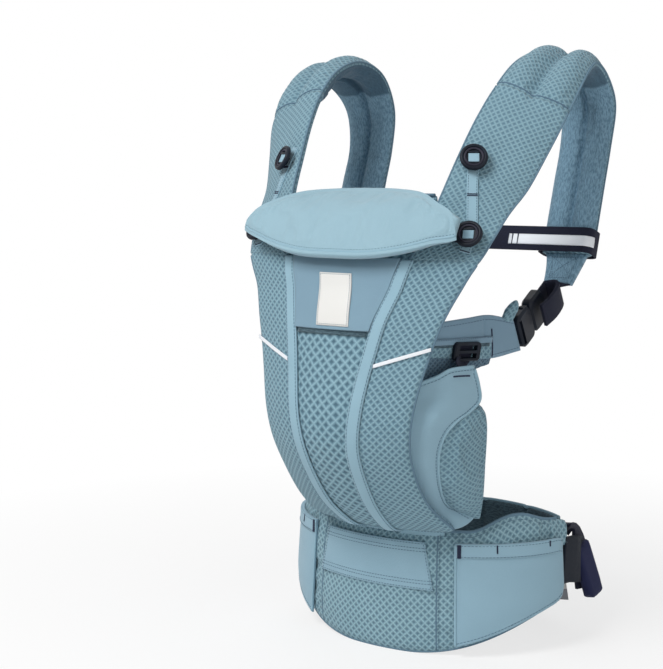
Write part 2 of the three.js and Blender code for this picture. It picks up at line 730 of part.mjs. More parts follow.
// Seat-width sliders: a flat frame with a grip bar, on the wing's outer face
const sliderShares = [0.34, 0.22]; // its middle's place on the wing
function makeSlider() {
  const [u, v] = sliderShares;
  const normal = normalOf(wingPlace, u, v);
  const lengthways = wingPlace(u + probeShare, v).sub(wingPlace(u, v)).normalize();
  const basis = new THREE.Matrix4().makeBasis(
    lengthways, normal.clone().cross(lengthways), normal,
  );
  const seat = wingThickness / 2 + sliderThickness / 2 + sliderLift;
  basis.setPosition(wingPlace(u, v).addScaledVector(normal, seat));
  const plate = roundedPlate(
    -sliderLength / 2, sliderLength / 2, sliderHeight, sliderThickness, sliderBarWidth,
  );
  const opening = (sliderHeight - 3 * sliderBarWidth) / 2;
  let body = plate;
  for (const sign of [1, -1]) {
    body = body.subtract(block(
      -sliderLength / 2 + sliderBarWidth * 2, sliderLength / 2 - sliderBarWidth * 2,
      opening / 2, overrun, sign * (sliderBarWidth + opening) / 2,
    ));
  }
  return shapeOf(body).applyMatrix4(basis);
}
addPair('seat_slider', makeSlider(), blackPlastic);

// Thigh pads: a smooth cover behind the panel's edge, and a padded roll along the cover's rear seam
const thighPoint = ([x, y, z]) =>
  point(thighReachX * x, thighReachY * y, mix(thighBottom, thighTop, z));
const seamShares = [
  [0.79, 0.56, 0.007], [0.69, 0.667, 0.08], [0.68, 0.78, 0.153], [0.73, 0.913, 0.307],
  [0.77, 0.973, 0.473], [0.836, 0.98, 0.6], [0.9, 0.933, 0.673], [0.973, 0.753, 0.78],
];
const coverTopShares = [[0.964, 0.82, 0.993], [0.88, 0.98, 0.99], [0.8, 1.04, 0.95]];
const rollShares = [
  [0.83, 0.54, 0.007], [0.86, 0.58, 0.1], [0.9, 0.633, 0.19], [0.945, 0.693, 0.373],
  [0.97, 0.71, 0.52], [0.985, 0.72, 0.62], [0.99, 0.727, 0.69], [0.99, 0.7, 0.735],
];
const coverRootShares = [0.02, 0.22, 0.5, 0.75, 0.9]; // of the thigh pad's height
function makeCoverPlace() {
  const lift = thighCoverThickness / 4 + clearance;
  const root = coverRootShares.map((z) => behindEdge(mix(thighBottom, thighTop, z), lift));
  const start = smoothCurve(root);
  const rear = [...seamShares, coverTopShares[0]].map(thighPoint);
  const end = smoothCurve(rear);
  const low = smoothCurve([along(start, 0), rear[0]]);
  const top = coverTopShares.slice(1).map(thighPoint).reverse();
  const high = smoothCurve([along(start, 1), ...top, along(end, 1)]);
  return patch(low, high, start, end);
}
function makeBolsterPlace() {
  const roll = rollShares.map(thighPoint);
  const start = smoothCurve(seamShares.map((share, i) => {
    const seam = thighPoint(share);
    const gap = mix(...seamClearances, (i / (roll.length - 1)) ** 4);
    return seam.add(roll[i].clone().sub(seam).setLength(gap));
  }));
  const end = smoothCurve(roll);
  const low = smoothCurve([along(start, 0), along(end, 0)]);
  const high = smoothCurve([along(start, 1), along(end, 1)]);
  return patch(low, high, start, end);
}
const coverPlace = makeCoverPlace();
const bolsterPlace = makeBolsterPlace();
// Both pads have the same steps along the seam, and there they share one direction for their
// edges, so that the edges lie side by side. The seam takes all but the last part of the cover.
const seamSteps = 2 * (seamShares.length - 1);
const coverSteps = 2 * seamShares.length;
function seamNormal(seamShare) {
  const share = Math.min(seamShare, 1);
  return normalOf(coverPlace, 1, share * seamSteps / coverSteps)
    .add(normalOf(bolsterPlace, 0, share)).normalize();
}
const coverOutward = (u, v) => normalOf(coverPlace, u, v)
  .lerp(seamNormal(v * coverSteps / seamSteps), u ** 2).normalize();
const bolsterOutward = (u, v) => normalOf(bolsterPlace, u, v)
  .lerp(seamNormal(v), (1 - u) ** 2).normalize();
addPair('thigh_cover', pad(
  coverPlace, thighCoverThickness / 2, thighCoverThickness, 6, coverSteps, coverOutward,
), smoothFabric);
addPair('thigh_bolster', pad(
  bolsterPlace, bolsterEdgeThickness, bolsterThickness, 6, seamSteps, bolsterOutward,
), meshFabric);

// Buckles
// Shares of a prong's length, from its tip back to its root: where the catch starts, is widest
// and ends, and where the prong's inner face turns.
const catchShares = [0.68, 0.5, 0.3, 0.22];
const prongTurnShare = 0.6;
const windowShare = 0.75; // of a prong's length, open on the female half's two sides
// Local axes: x runs from the female half out through its mouth, y across the webbing, z out of
// the face. The mouth is at x = 0.
function makeFemale(size) {
  const { width, length, thickness, wall, arm, corner, webbing } = size;
  const inside = thickness / 2 - wall;
  const shell = roundedPlate(-length, 0, width, thickness, corner);
  const cavity = block(-arm - buckleGap, overrun, width / 2 - wall, inside);
  const sides = block(-arm * windowShare, overrun, width / 2 + overrun, inside - wall / 2);
  const slot = block(-length + wall, -length + 2 * wall + webbingThickness, webbing / 2, overrun * 2);
  return shapeOf(shell.subtract(cavity).subtract(sides).subtract(slot));
}
function makeMale(size) {
  const { width, base, thickness, wall, arm, corner, tongue, webbing } = size;
  const inside = thickness / 2 - wall - buckleGap;
  const body = roundedPlate(buckleGap, base, width, thickness, corner);
  const centre = block(-arm, buckleGap + wall + corner, tongue / 2, inside);
  const channel = block(
    wall + corner + buckleGap, base + overrun,
    webbing / 2 + buckleGap, webbingThickness / 2 + buckleGap,
  );
  return shapeOf(body.add(centre).subtract(channel));
}
function makeProng(size, side) {
  const { width, thickness, wall, arm, armWidth } = size;
  const inside = thickness / 2 - wall - buckleGap;
  const outer = width / 2 - wall - buckleGap;
  const inner = outer - armWidth;
  const root = buckleGap - clearance;
  const outline = new THREE.Shape();
  outline.moveTo(root, inner);
  outline.lineTo(-arm * prongTurnShare, inner);
  outline.lineTo(-arm, inner + armWidth / 3);
  outline.lineTo(-arm, outer);
  const reaches = [outer, width / 2, width / 2, outer];
  catchShares.forEach((share, i) => outline.lineTo(-arm * share, reaches[i]));
  outline.lineTo(root, outer);
  const low = inside - wall / 2;
  const geometry = new THREE.ExtrudeGeometry(outline, {
    depth: 2 * low, bevelEnabled: false,
  }).translate(0, 0, -low);
  if (side < 0) geometry.rotateX(Math.PI);
  return shapeOf(solid(geometry));
}
// A frame whose x is the way that the male half slides and whose z is the outer face.
function buckleFrame(mouth, slide, outward) {
  const x = slide.clone().normalize();
  const z = outward.clone().projectOnPlane(x).normalize();
  const frame = new THREE.Group();
  frame.matrix.makeBasis(x, z.clone().cross(x), z).setPosition(mouth);
  frame.matrix.decompose(frame.position, frame.quaternion, frame.scale);
  carrier.add(frame);
  return frame;
}
// upper is the side of the local y axis that looks up, or 0 for a buckle whose prongs are left out.
function addBuckle(name, suffix, size, frame, upper = 1) {
  add(`${name}_female${suffix}`, makeFemale(size), blackPlastic, frame);
  add(`${name}_male${suffix}`, makeMale(size), blackPlastic, frame);
  if (upper === 0) return;
  add(`${name}_prong_upper${suffix}`, makeProng(size, upper), blackPlastic, frame);
  add(`${name}_prong_lower${suffix}`, makeProng(size, -upper), blackPlastic, frame);
}

// Side buckles, between the side wings and the webbing of the shoulder straps
const sideMouth = wingEnd.clone().addScaledVector(sideSlide, sideBuckle.length + 3 * clearance);
for (const [suffix, sign] of [['_right', 1], ['_left', -1]]) {
  const flip = point(sign, 1, 1);
  addBuckle('side_buckle', suffix, sideBuckle, buckleFrame(
    sideMouth.clone().multiply(flip), sideSlide, sideOutward.clone().multiply(flip),
  ), sign);
}

// Webbing from inside the male half up to the strap's end tab. Its free end is folded back along
// the outside.
const tailShares = [[1.04, 0], [1.12, 0.3], [1.12, 0.75], [0.9, 1.02], [0.5, 1.06], [0.15, 0.85]];
const tailWidthShare = 0.92; // of the webbing's width
const webbingTurnShares = [0.7, 1]; // it turns flat on to the end tab at its far end
function makeStrapWebbing() {
  const { base, arm } = sideBuckle;
  const at = (x, out = 0) => sideMouth.clone()
    .addScaledVector(sideSlide, x).addScaledVector(sideOutward, out);
  const straight = base + arm + clearance;
  const end = tabTip.clone().addScaledVector(tabLine.getTangent(1), clearance);
  const route = smoothCurve([
    at(base - buckleGrip), at(base + arm / 2), at(straight), at(straight + 2 * webbingThickness),
    end,
  ]);
  const main = solid(twistedBand(
    route, sideAcross, legAcross, webbingTurnShares, strapWebbingWidth, webbingThickness, 16,
  ));
  const tailLine = smoothCurve(tailShares.map(([x, out]) => at(straight * x, sideTailLift * out)));
  const tailWidth = strapWebbingWidth * tailWidthShare;
  const tail = solid(band(tailLine, sideAcross, tailWidth, 2 * webbingThickness, 14));
  return shapeOf(main.add(tail));
}
addPair('strap_webbing', makeStrapWebbing(), blackWebbing);

// Waist buckle, on the viewer's right between the belt's end and the lumbar pad
function ringMiddle(angle, depth) {
  return beltPoint(angle, waistWebbingHeight).addScaledVector(beltOutward(angle), -depth);
}
const beltEnd = ringMiddle(beltReachAngle, beltThickness / 2);
const lumbarEnd = ringMiddle(lumbarStartAngle, lumbarThickness / 2);
const waistSlide = lumbarEnd.clone().sub(beltEnd).normalize();
const waistOutward = waistSlide.clone().cross(point(0, 0, 1));
const endGap = 3 * clearance; // the ring's ends are not square to the webbing
const shellGap = 3 * endGap; // nor to the buckle, which is thicker
const waistMouth = beltEnd.clone().addScaledVector(waistSlide, waistBuckle.length + shellGap);
const waistAt = (x, out = 0, up = 0) => waistMouth.clone().addScaledVector(waistSlide, x)
  .addScaledVector(waistOutward, out).add(point(0, 0, up));
addBuckle('waist_buckle', '', waistBuckle, buckleFrame(waistMouth, waistSlide, waistOutward));

// Its webbing stops at the lumbar pad. The doubled free end is sewn on its outside and hangs down.
const waistTailShares = [[0.3, 0.3], [0.45, 0.42], [0.62, 0.35], [0.82, -0.25], [1, -1]];
const waistTailTurnShares = [0.3, 1];
function makeWaistWebbing() {
  const end = lumbarEnd.distanceTo(waistMouth) - endGap;
  const line = smoothCurve([waistAt(waistBuckle.base - buckleGrip), waistAt(end)]);
  const up = point(0, 0, 1);
  const main = solid(band(line, up, waistWebbingWidth, webbingThickness, 3));
  const root = end - waistTailRoot / 2 - clearance;
  const [out, rise] = waistTailShares[1];
  const rootLine = smoothCurve([
    waistAt(root, 0, waistTailDrop * rise), waistAt(root, waistTailLift * out, waistTailDrop * rise),
  ]);
  const thickness = 2 * webbingThickness;
  const stitch = solid(band(rootLine, waistSlide, waistTailRoot, thickness, 1));
  const middle = end - waistTailWidth / 2;
  const tailLine = smoothCurve(waistTailShares.map(([x, z]) =>
    waistAt(middle, waistTailLift * x, waistTailDrop * z)));
  const aside = waistSlide.clone().add(waistOutward);
  const tail = solid(twistedBand(
    tailLine, waistSlide, aside, waistTailTurnShares, waistTailWidth, thickness, 12,
  ));
  return shapeOf(main.add(stitch).add(tail));
}
add('waist_webbing_right', makeWaistWebbing(), blackWebbing);

function makeLeftWebbing() {
  const shift = waistSlide.clone().multiplyScalar(endGap);
  const ends = [beltEnd.clone().add(shift), lumbarEnd.clone().sub(shift)];
  return band(smoothCurve(ends), point(0, 0, 1), waistWebbingWidth, webbingThickness, 4);
}
add('waist_webbing_left', mirrored(makeLeftWebbing()), blackWebbing);

// The care label hangs from the webbing's lower edge, clear of the male half when that is out.
function makeCareLabel() {
  const top = -waistWebbingWidth / 2 - clearance;
  const start = waistBuckle.base + waistBuckle.arm + 2 * clearance;
  const place = (u, v) => waistAt(start + careLabelWidth * (1 - u), 0, top - careLabelHeight * (1 - v));
  return slab(place, steady(-trimThickness / 2), steady(trimThickness / 2), 2, 4);
}
add('care_label', makeCareLabel(), whiteLabel);

// Cross strap: each half is a loop round a rear leg and a band to the buckle in the middle.
// Local axes: x to the viewer's right, y out of the leg's outer face, z up the leg.
const legWidth = strapAt(0, 1).distanceTo(strapAt(1, 1));
const crossShare = (crossHeight - legEnd.z) / -legDown.z;
const crossCentre = legEnd.clone().addScaledVector(legDown, -crossShare);
const crossBandDepth = -(padChannelThickness / 2 + crossSlack + webbingThickness / 2);
function makeCrossStrap(bandStart) {
  const ring = (grow) => {
    const x = legWidth / 2 + crossSlack + grow;
    const y = padChannelThickness / 2 + crossSlack + grow;
    const r = padChannelThickness / 3 + grow;
    const path = new THREE.Shape();
    path.moveTo(-x + r, -y);
    path.lineTo(x - r, -y);
    path.absarc(x - r, -y + r, r, -Math.PI / 2, 0);
    path.absarc(x - r, y - r, r, 0, Math.PI / 2);
    path.absarc(-x + r, y - r, r, Math.PI / 2, Math.PI);
    path.absarc(-x + r, -y + r, r, Math.PI, 1.5 * Math.PI);
    return path;
  };
  const outline = ring(webbingThickness);
  outline.holes.push(ring(0));
  const loop = solid(new THREE.ExtrudeGeometry(outline, {
    depth: crossWidth, bevelEnabled: false, curveSegments: 5,
  }).translate(crossCentre.x, 0, -crossWidth / 2));
  const bandBox = block(
    bandStart, crossCentre.x, webbingThickness / 2, crossWidth / 2, crossBandDepth,
  );
  return shapeOf(loop.add(bandBox));
}
function onLegs(geometry) {
  const up = legDown.clone().negate();
  const basis = new THREE.Matrix4().makeBasis(legAcross, legOut, up);
  return geometry.applyMatrix4(basis.setPosition(crossCentre.clone().setX(0)));
}
const crossMouthX = crossBuckle.length / 4;
const crossMaleEnd = crossMouthX + crossBuckle.base;
add('cross_strap_right', onLegs(makeCrossStrap(crossMaleEnd - buckleGrip)), blackWebbing);
const crossFemaleEnd = crossMouthX - crossBuckle.length;
add('cross_strap_left', mirrored(onLegs(makeCrossStrap(clearance - crossFemaleEnd))), blackWebbing);
const crossMouth = crossCentre.clone().setX(crossMouthX).addScaledVector(legOut, crossBandDepth);
addBuckle(
  'cross_buckle', '', crossBuckle, buckleFrame(crossMouth, legAcross, legOut.clone().negate()), 0,
);

export default carrier;
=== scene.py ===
# %% [markdown]
# # A soft baby carrier
# The carrier has a waist belt closed in a ring, a body panel of open mesh fabric that bulges in
# front of it, a padded head support, and two shoulder straps that arch over and come down the
# back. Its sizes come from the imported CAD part. This lesson dresses that part: each cloth piece
# is rebuilt over its plain solid as real cloth, with seams, stitches and weave, and the hard
# pieces get their finish.
# %% The frame
import math

import bmesh
import bpy
import numpy as np
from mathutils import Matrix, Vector
from mathutils.bvhtree import BVHTree


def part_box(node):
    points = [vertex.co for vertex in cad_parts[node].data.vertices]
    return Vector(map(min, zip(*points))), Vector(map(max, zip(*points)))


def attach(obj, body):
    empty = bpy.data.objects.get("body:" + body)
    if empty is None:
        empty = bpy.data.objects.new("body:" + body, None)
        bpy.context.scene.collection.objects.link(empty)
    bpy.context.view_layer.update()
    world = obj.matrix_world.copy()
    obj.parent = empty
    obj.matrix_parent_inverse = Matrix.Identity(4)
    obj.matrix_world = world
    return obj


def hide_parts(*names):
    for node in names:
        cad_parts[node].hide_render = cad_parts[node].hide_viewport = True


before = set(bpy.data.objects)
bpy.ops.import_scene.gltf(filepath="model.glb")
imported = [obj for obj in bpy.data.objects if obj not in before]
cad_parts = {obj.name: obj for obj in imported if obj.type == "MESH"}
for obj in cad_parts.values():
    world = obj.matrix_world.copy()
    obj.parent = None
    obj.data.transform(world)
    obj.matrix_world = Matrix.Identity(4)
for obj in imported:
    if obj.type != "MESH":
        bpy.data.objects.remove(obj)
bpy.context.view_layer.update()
MM = 0.001
RIGHT, LEFT = (1, 0, 0), (-1, 0, 0)
FRONT, BACK = (0, -1, 0), (0, 1, 0)
UP, DOWN = (0, 0, 1), (0, 0, -1)
bpy.ops.object.select_all(action="DESELECT")

# %% [markdown]
# The camera stands where the photographer's did: to the right of the carrier and a little above
# its belt, looking slightly down. A long lens keeps the near strap from looking larger than the
# far one.
# %% The camera
CAMERA_PLACE = Vector((0.71960, -1.24638, 0.45371))
CAMERA_AIM = Vector((-0.55947, 0.82102, -0.11364))
LENS_LENGTH = 78.03
SENSOR_WIDTH = 36
bpy.ops.object.camera_add(
    location=CAMERA_PLACE, rotation=CAMERA_AIM.to_track_quat("-Z", "Y").to_euler()
)
camera = bpy.context.object
camera.name = "camera"
camera.data.lens = LENS_LENGTH
camera.data.sensor_width = SENSOR_WIDTH
bpy.context.scene.camera = camera
print("camera at", tuple(camera.location))

# %% [markdown]
# Shader maths reads best as sums and products. A small class wraps a socket, so that
# `1 - mask * 2` adds the Math nodes by itself, and one method makes every other node.
# %% A socket that can be reckoned with
class Value:
    def __init__(self, nodes, socket):
        self.nodes, self.socket = nodes, socket

    def reckon(self, operation, *others):
        """A Math node that works on this value and the others."""
        return self.nodes.node("ShaderNodeMath", {"operation": operation}, {
            i: other for i, other in enumerate((self, *others))
        })

    def __add__(self, other):
        return self.reckon("ADD", other)

    def __sub__(self, other):
        return self.reckon("SUBTRACT", other)

    def __rsub__(self, other):
        return (self * -1).reckon("ADD", other)

    def __mul__(self, other):
        return self.reckon("MULTIPLY", other)

    def __truediv__(self, other):
        return self.reckon("DIVIDE", other)

    __radd__ = __add__
    __rmul__ = __mul__


class Nodes:
    def __init__(self, tree):
        self.tree = tree

    def node(self, kind, settings=None, sockets=None, output=0):
        """Adds a node with its settings, and with values or links in its sockets."""
        made = self.tree.nodes.new(kind)
        for name, value in (settings or {}).items():
            setattr(made, name, value)
        for name, value in (sockets or {}).items():
            if isinstance(value, Value):
                self.tree.links.new(value.socket, made.inputs[name])
            else:
                made.inputs[name].default_value = value
        return Value(self, made.outputs[output])


print("sockets can be reckoned with")

# %% A material built with it
def colour(red, green, blue):
    """An sRGB colour, 0 to 255, as the linear colour that a shader wants."""
    shares = [c / 255 for c in (red, green, blue)]
    return (*[c / 12.92 if c < 0.04045 else ((c + 0.055) / 1.055) ** 2.4 for c in shares], 1)


class Finish(Nodes):
    def __init__(self, name, **constants):
        self.material = bpy.data.materials.new(name)
        self.material.use_nodes = True
        super().__init__(self.material.node_tree)
        self.surface = self.tree.nodes["Principled BSDF"]
        for socket, value in constants.items():
            self.surface.inputs[socket.replace("_", " ")].default_value = value

    def feed(self, socket, value):
        self.tree.links.new(value.socket, self.surface.inputs[socket])

    def mix(self, factor, first, second):
        # A colour Mix node keeps its colour sockets at 6 and 7 and its colour output at 2.
        return self.node("ShaderNodeMix", {"data_type": "RGBA"}, {0: factor, 6: first, 7: second}, 2)

    def steps(self, value, low, high):
        """0 below low, 1 above high, and smooth between."""
        return self.node("ShaderNodeMapRange", {"interpolation_type": "SMOOTHSTEP"}, {
            "Value": value, "From Min": low, "From Max": high,
        })

    def noise(self, place, scale, detail=2.0, roughness=0.5):
        return self.node("ShaderNodeTexNoise", {}, {
            "Vector": place, "Scale": scale, "Detail": detail, "Roughness": roughness,
        })

    def bump(self, height, strength, distance):
        self.feed("Normal", self.node("ShaderNodeBump", {}, {
            "Strength": strength, "Distance": distance, "Height": height,
        }))

    def object_place(self):
        """Metres from the carrier's own origin."""
        return self.node("ShaderNodeTexCoord", output="Object")

    def cloth_place(self):
        """Metres on the cloth, from the piece's own UV map: the place, and its two parts."""
        place = self.node("ShaderNodeUVMap", {"uv_map": "cloth"})
        across, along = [self.node("ShaderNodeSeparateXYZ", {}, {0: place}, part) for part in (0, 1)]
        return place, across, along


print("shader helpers ready")

# %% [markdown]
# The carrier's main fabric is an air mesh: two layers of thread cross in diamonds and leave small
# holes between them. It follows the cloth, so its pattern is drawn in metres on each piece's own
# UV map. Two slanting coordinates are 0 on a thread and 1 half way to the next one, and where
# both are far from a thread there is a hole. The holes are real, and their dark colour is painted
# shade. The upper half of each cell gets a painted shadow of the thread above it, and the thread
# crests get a painted highlight.
# %% Open mesh fabric
def distance_from_thread(finish, place, pitch):
    """0 on a thread and 1 half way between two, for threads that cross every pitch."""
    turn = finish.node("ShaderNodeMath", {"operation": "PINGPONG"}, {0: place / pitch, 1: 0.5})
    return turn * 2


def mesh_fabric(name, width, height, light, middle, hole):
    """Diamonds of thread, so wide and high, with holes darkened by painted shade, a painted shadow
    in each cell's upper half and a painted highlight on the crests.
    """
    finish = Finish(name, Roughness=0.85, Specular_IOR_Level=0.15, Sheen_Weight=0.15)
    place, across, along = finish.cloth_place()
    wander = (finish.noise(place, 90.0) - 0.5) * 0.35
    slant = along / height
    first = across / width + slant + wander
    second = across / width - slant + wander
    rising = distance_from_thread(finish, first, 1)
    falling = distance_from_thread(finish, second, 1)
    nearest = rising.reckon("MINIMUM", falling)
    # Painted shading in each cell: upper is above 0 in the cell's upper half, where the holes get a
    # painted shadow of the thread above, and below 0 in its lower half, where the crests get a
    # stronger painted highlight.
    upper = first.reckon("FRACT") - second.reckon("FRACT")
    hole_and_painted_shadow = finish.steps(nearest, 0.25, 0.75) * (upper * 0.35 + 0.72)
    crest_painted_highlight = finish.steps(nearest, 0.36, 0.05) * (0.75 - upper * 0.4)
    fibre = finish.noise(place, 1400.0, 2.0)
    tone = finish.noise(place, 14.0, 3.0)
    # The light colour is the painted highlight along the thread crests, and it also shows where the
    # random tone is lighter.
    body = finish.mix(crest_painted_highlight * 0.8 + tone * 0.5 - 0.22, middle, light)
    lit = finish.mix(fibre * 0.4, body, middle)
    # The hole colour is painted shade inside the holes.
    finish.feed("Base Color", finish.mix(hole_and_painted_shadow, lit, hole))
    finish.bump(crest_painted_highlight * 0.5 - hole_and_painted_shadow + fibre * 0.12, 0.85, 0.7 * MM)
    return finish.material


# Each mesh's colours: the first is the painted highlight on its thread crests, the second its
# thread, the third the painted shade in its holes.
PANEL_MESH = mesh_fabric("panel_mesh", 0.0090, 0.0092, colour(160, 194, 207),
                         colour(118, 153, 168), colour(61, 91, 108))
SIDE_MESH = mesh_fabric("side_mesh", 0.0066, 0.0067, colour(156, 190, 203),
                        colour(120, 154, 169), colour(78, 109, 126))
BELT_MESH = mesh_fabric("belt_mesh", 0.0069, 0.0067, colour(169, 202, 213),
                        colour(131, 165, 178), colour(84, 114, 130))
STRAP_MESH = mesh_fabric("strap_mesh", 0.0060, 0.0057, colour(152, 186, 198),
                         colour(122, 156, 171), colour(87, 118, 135))
INNER_MESH = mesh_fabric("inner_mesh", 0.0052, 0.0050, colour(112, 140, 158),
                         colour(88, 114, 132), colour(62, 86, 104))
print("mesh fabrics made")

# %% [markdown]
# The head support, the bib, the pockets and the covers are a smooth, closely woven fabric. At
# this distance its weave is only a fine twill line every 0.9 mm with a slightly uneven tone, so
# two crossing lines and a noise are enough. The inside of the straps is a heathered jersey: short
# dark and light fibres mixed along the knit.
# %% Smooth twill and heathered jersey
def twill(name, light, dark, pitch=0.9 * MM, roughness=0.7):
    """A smooth fabric with a fine slanting line at every pitch."""
    finish = Finish(name, Roughness=roughness, Specular_IOR_Level=0.2, Sheen_Weight=0.2)
    place, across, along = finish.cloth_place()
    line = distance_from_thread(finish, across + along, pitch)
    cross = distance_from_thread(finish, across - along, pitch * 2)
    tone = finish.noise(place, 22.0, 4.0)
    speck = finish.noise(place, 900.0, 2.0)
    shade = tone * 0.45 + line * 0.16 + speck * 0.25
    finish.feed("Base Color", finish.mix(shade, light, dark))
    finish.bump(line * 0.6 + cross * 0.25 + speck * 0.3, 0.45, 0.25 * MM)
    return finish.material


DEEP_FROM, DEEP_WHOLE = 172 * MM, 176 * MM


def jersey(name, light, dark, deep=None):
    """A heathered knit, which can turn to a deep tone further along it."""
    finish = Finish(name, Roughness=0.9, Specular_IOR_Level=0.1, Sheen_Weight=0.15)
    place, across, along = finish.cloth_place()
    wale = distance_from_thread(finish, across, 1.6 * MM)
    stretched = finish.node("ShaderNodeMapping", {}, {"Vector": place, "Scale": (1.0, 0.22, 1.0)})
    fibre = finish.noise(stretched, 900.0, 3.0, 0.7)
    heather = finish.steps(fibre, 0.42, 0.6)
    tone = finish.noise(place, 18.0, 3.0)
    knit = finish.mix(heather * 0.7 + tone * 0.3, light, dark)
    if deep:
        deep_share = finish.steps(along, DEEP_FROM, DEEP_WHOLE)
        knit = finish.mix(deep_share, knit, finish.mix(fibre, deep, dark))
    finish.feed("Base Color", knit)
    finish.bump(wale * 0.5 + fibre * 0.6, 0.6, 0.3 * MM)
    return finish.material


SMOOTH = twill("smooth_twill", colour(156, 190, 206), colour(129, 161, 178))
PILLOW = twill("pillow_twill", colour(158, 190, 203), colour(137, 169, 183))
TAPE = twill("tape_twill", colour(156, 190, 205), colour(131, 165, 181), 1.4 * MM, 0.8)
# The bib's twill is darker than the smooth twill as painted shade, for the shadow of the head
# support above it.
BIB_PAINTED_SHADE = twill("bib_twill_painted_shade", colour(133, 164, 181), colour(112, 141, 160))
# The wing's twill is darker than the smooth twill as painted shade, for the shadow of the strap
# above it.
WING_PAINTED_SHADE = twill("wing_twill_painted_shade", colour(131, 160, 179), colour(108, 137, 157))
LINING = jersey("jersey_lining", colour(143, 177, 198), colour(97, 130, 150))
STRAP_LINING = jersey("strap_lining", colour(139, 173, 194), colour(95, 128, 148),
                      colour(62, 82, 98))
# A heathered jersey darkened as painted shade: it lines the insides of the belt and the lumbar pad,
# and its strips stand for the shade under the bib's edge and the wing's hem.
PAINTED_SHADE_LINING = jersey("dark_lining_painted_shade", colour(89, 112, 122), colour(55, 72, 82))
print("twill and jersey made")

# %% [markdown]
# Webbing is woven from thick black yarn: ribs cross it and finer lines run along it. The buckles
# are moulded acetal, nearly black, with a fine spark-eroded grain. The stripes are glass-bead
# tape, and the labels are plain satin.
# %% Webbing, plastic, tape, label and thread
def webbing(name, tint, light, pitch=1.6 * MM):
    """Thick yarn in ribs across the band, with lines along it."""
    finish = Finish(name, Roughness=0.75, Specular_IOR_Level=0.1, Sheen_Weight=0.04)
    place, across, along = finish.cloth_place()
    rib = distance_from_thread(finish, along, pitch)
    yarn = distance_from_thread(finish, across, pitch * 0.8)
    speck = finish.noise(place, 700.0)
    finish.feed("Base Color", finish.mix(rib * 0.35 + speck * 0.35, light, tint))
    finish.bump(rib * 0.8 + yarn * 0.5 + speck * 0.3, 0.8, 0.4 * MM)
    return finish.material


def moulded(name, tint, light, roughness):
    """Plastic with a fine grain, and rubbed lighter in broad patches."""
    finish = Finish(name, Roughness=roughness, Specular_IOR_Level=0.16)
    place = finish.object_place()
    grain = finish.noise(place, 1500.0, 2.0)
    wear = finish.noise(place, 60.0, 4.0)
    finish.feed("Base Color", finish.mix(finish.steps(wear, 0.35, 0.8), tint, light))
    finish.feed("Roughness", grain * 0.2 + wear * 0.15 + (roughness - 0.17))
    finish.bump(grain, 0.3, 0.1 * MM)
    return finish.material


def plain_cloth(name, tint, dark, scale, roughness=0.6):
    """A fabric or thread that is too fine to show a weave, only a speckle."""
    finish = Finish(name, Roughness=roughness)
    place = finish.object_place()
    speck = finish.noise(place, scale, 2.0)
    finish.feed("Base Color", finish.mix(speck * 0.5, tint, dark))
    finish.bump(speck, 0.3, 0.1 * MM)
    return finish.material


WEBBING = webbing("black_webbing", colour(20, 22, 34), colour(42, 45, 62))
NAVY_WEBBING = webbing("navy_webbing", colour(30, 33, 62), colour(48, 53, 88), 1.2 * MM)
ELASTIC = webbing("elastic_band", colour(12, 18, 27), colour(28, 36, 48), 1 * MM)
PLASTIC = moulded("black_acetal", colour(14, 20, 31), colour(25, 33, 45), 0.42)
RING_GREY = moulded("grey_ring", colour(40, 40, 52), colour(58, 57, 70), 0.5)
REFLECTIVE = plain_cloth("reflective_tape", colour(240, 243, 247), colour(214, 220, 228), 1800.0,
                         0.4)
LABEL = plain_cloth("satin_label", colour(226, 225, 221), colour(212, 212, 210), 1200.0, 0.55)
LABEL_TIP = plain_cloth("label_tip", colour(150, 152, 158), colour(128, 130, 138), 1200.0)
THREAD = plain_cloth("blue_thread", colour(88, 116, 136), colour(66, 92, 112), 2500.0, 0.8)
EDGE = plain_cloth("edge_piping", colour(104, 134, 152), colour(78, 105, 124), 700.0, 0.85)
DARK_THREAD = plain_cloth("dark_thread", colour(30, 38, 66), colour(22, 28, 50), 2500.0, 0.8)
print("trim materials made")

# %% [markdown]
# A cloth piece is rebuilt from its plain solid. Each soft solid of the frame is a slab: rings of
# points, each with a front row and a back row. The rings are found again by counting the edges
# from one end, and each ring is put in order by walking round it. Splines through the rows then
# give the cloth's front and back at any fineness, and the distances along them give the weave
# its place in metres.
# %% Finding a slab's rings
def welded(node):
    """A node's points and edges, once the corners of its loose triangles are joined."""
    shape = bmesh.new()
    shape.from_mesh(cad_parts[node].data)
    bmesh.ops.remove_doubles(shape, verts=shape.verts, dist=0.02 * MM)
    shape.verts.index_update()
    points = np.array([vertex.co[:] for vertex in shape.verts])
    near = [set(edge.other_vert(vertex).index for edge in vertex.link_edges)
            for vertex in shape.verts]
    shape.free()
    return points, near


def rings_of(points, near, towards, count):
    """The points' numbers in rings, counted in edges from the end that lies towards."""
    first = np.argsort(-points @ np.array(towards, float))[:count]
    seen = {int(i) for i in first}
    rings = [sorted(seen)]
    while len(seen) < len(points):
        next_ring = {j for i in rings[-1] for j in near[i]} - seen
        if not next_ring:
            break
        seen |= next_ring
        rings.append(sorted(next_ring))
    return rings


def walk(ring, near):
    """A ring's points in order, from its lowest number."""
    inside = set(ring)
    order = [ring[0]]
    while len(order) < len(ring):
        ahead = [j for j in near[order[-1]] if j in inside and j not in order]
        if not ahead:
            break
        order.append(min(ahead, key=lambda j: len(near[j] & inside)))
    return order


def unit(vectors):
    vectors = np.asarray(vectors, float)
    return vectors / np.maximum(np.linalg.norm(vectors, axis=-1, keepdims=True), 1e-12)


print("ring helpers ready")

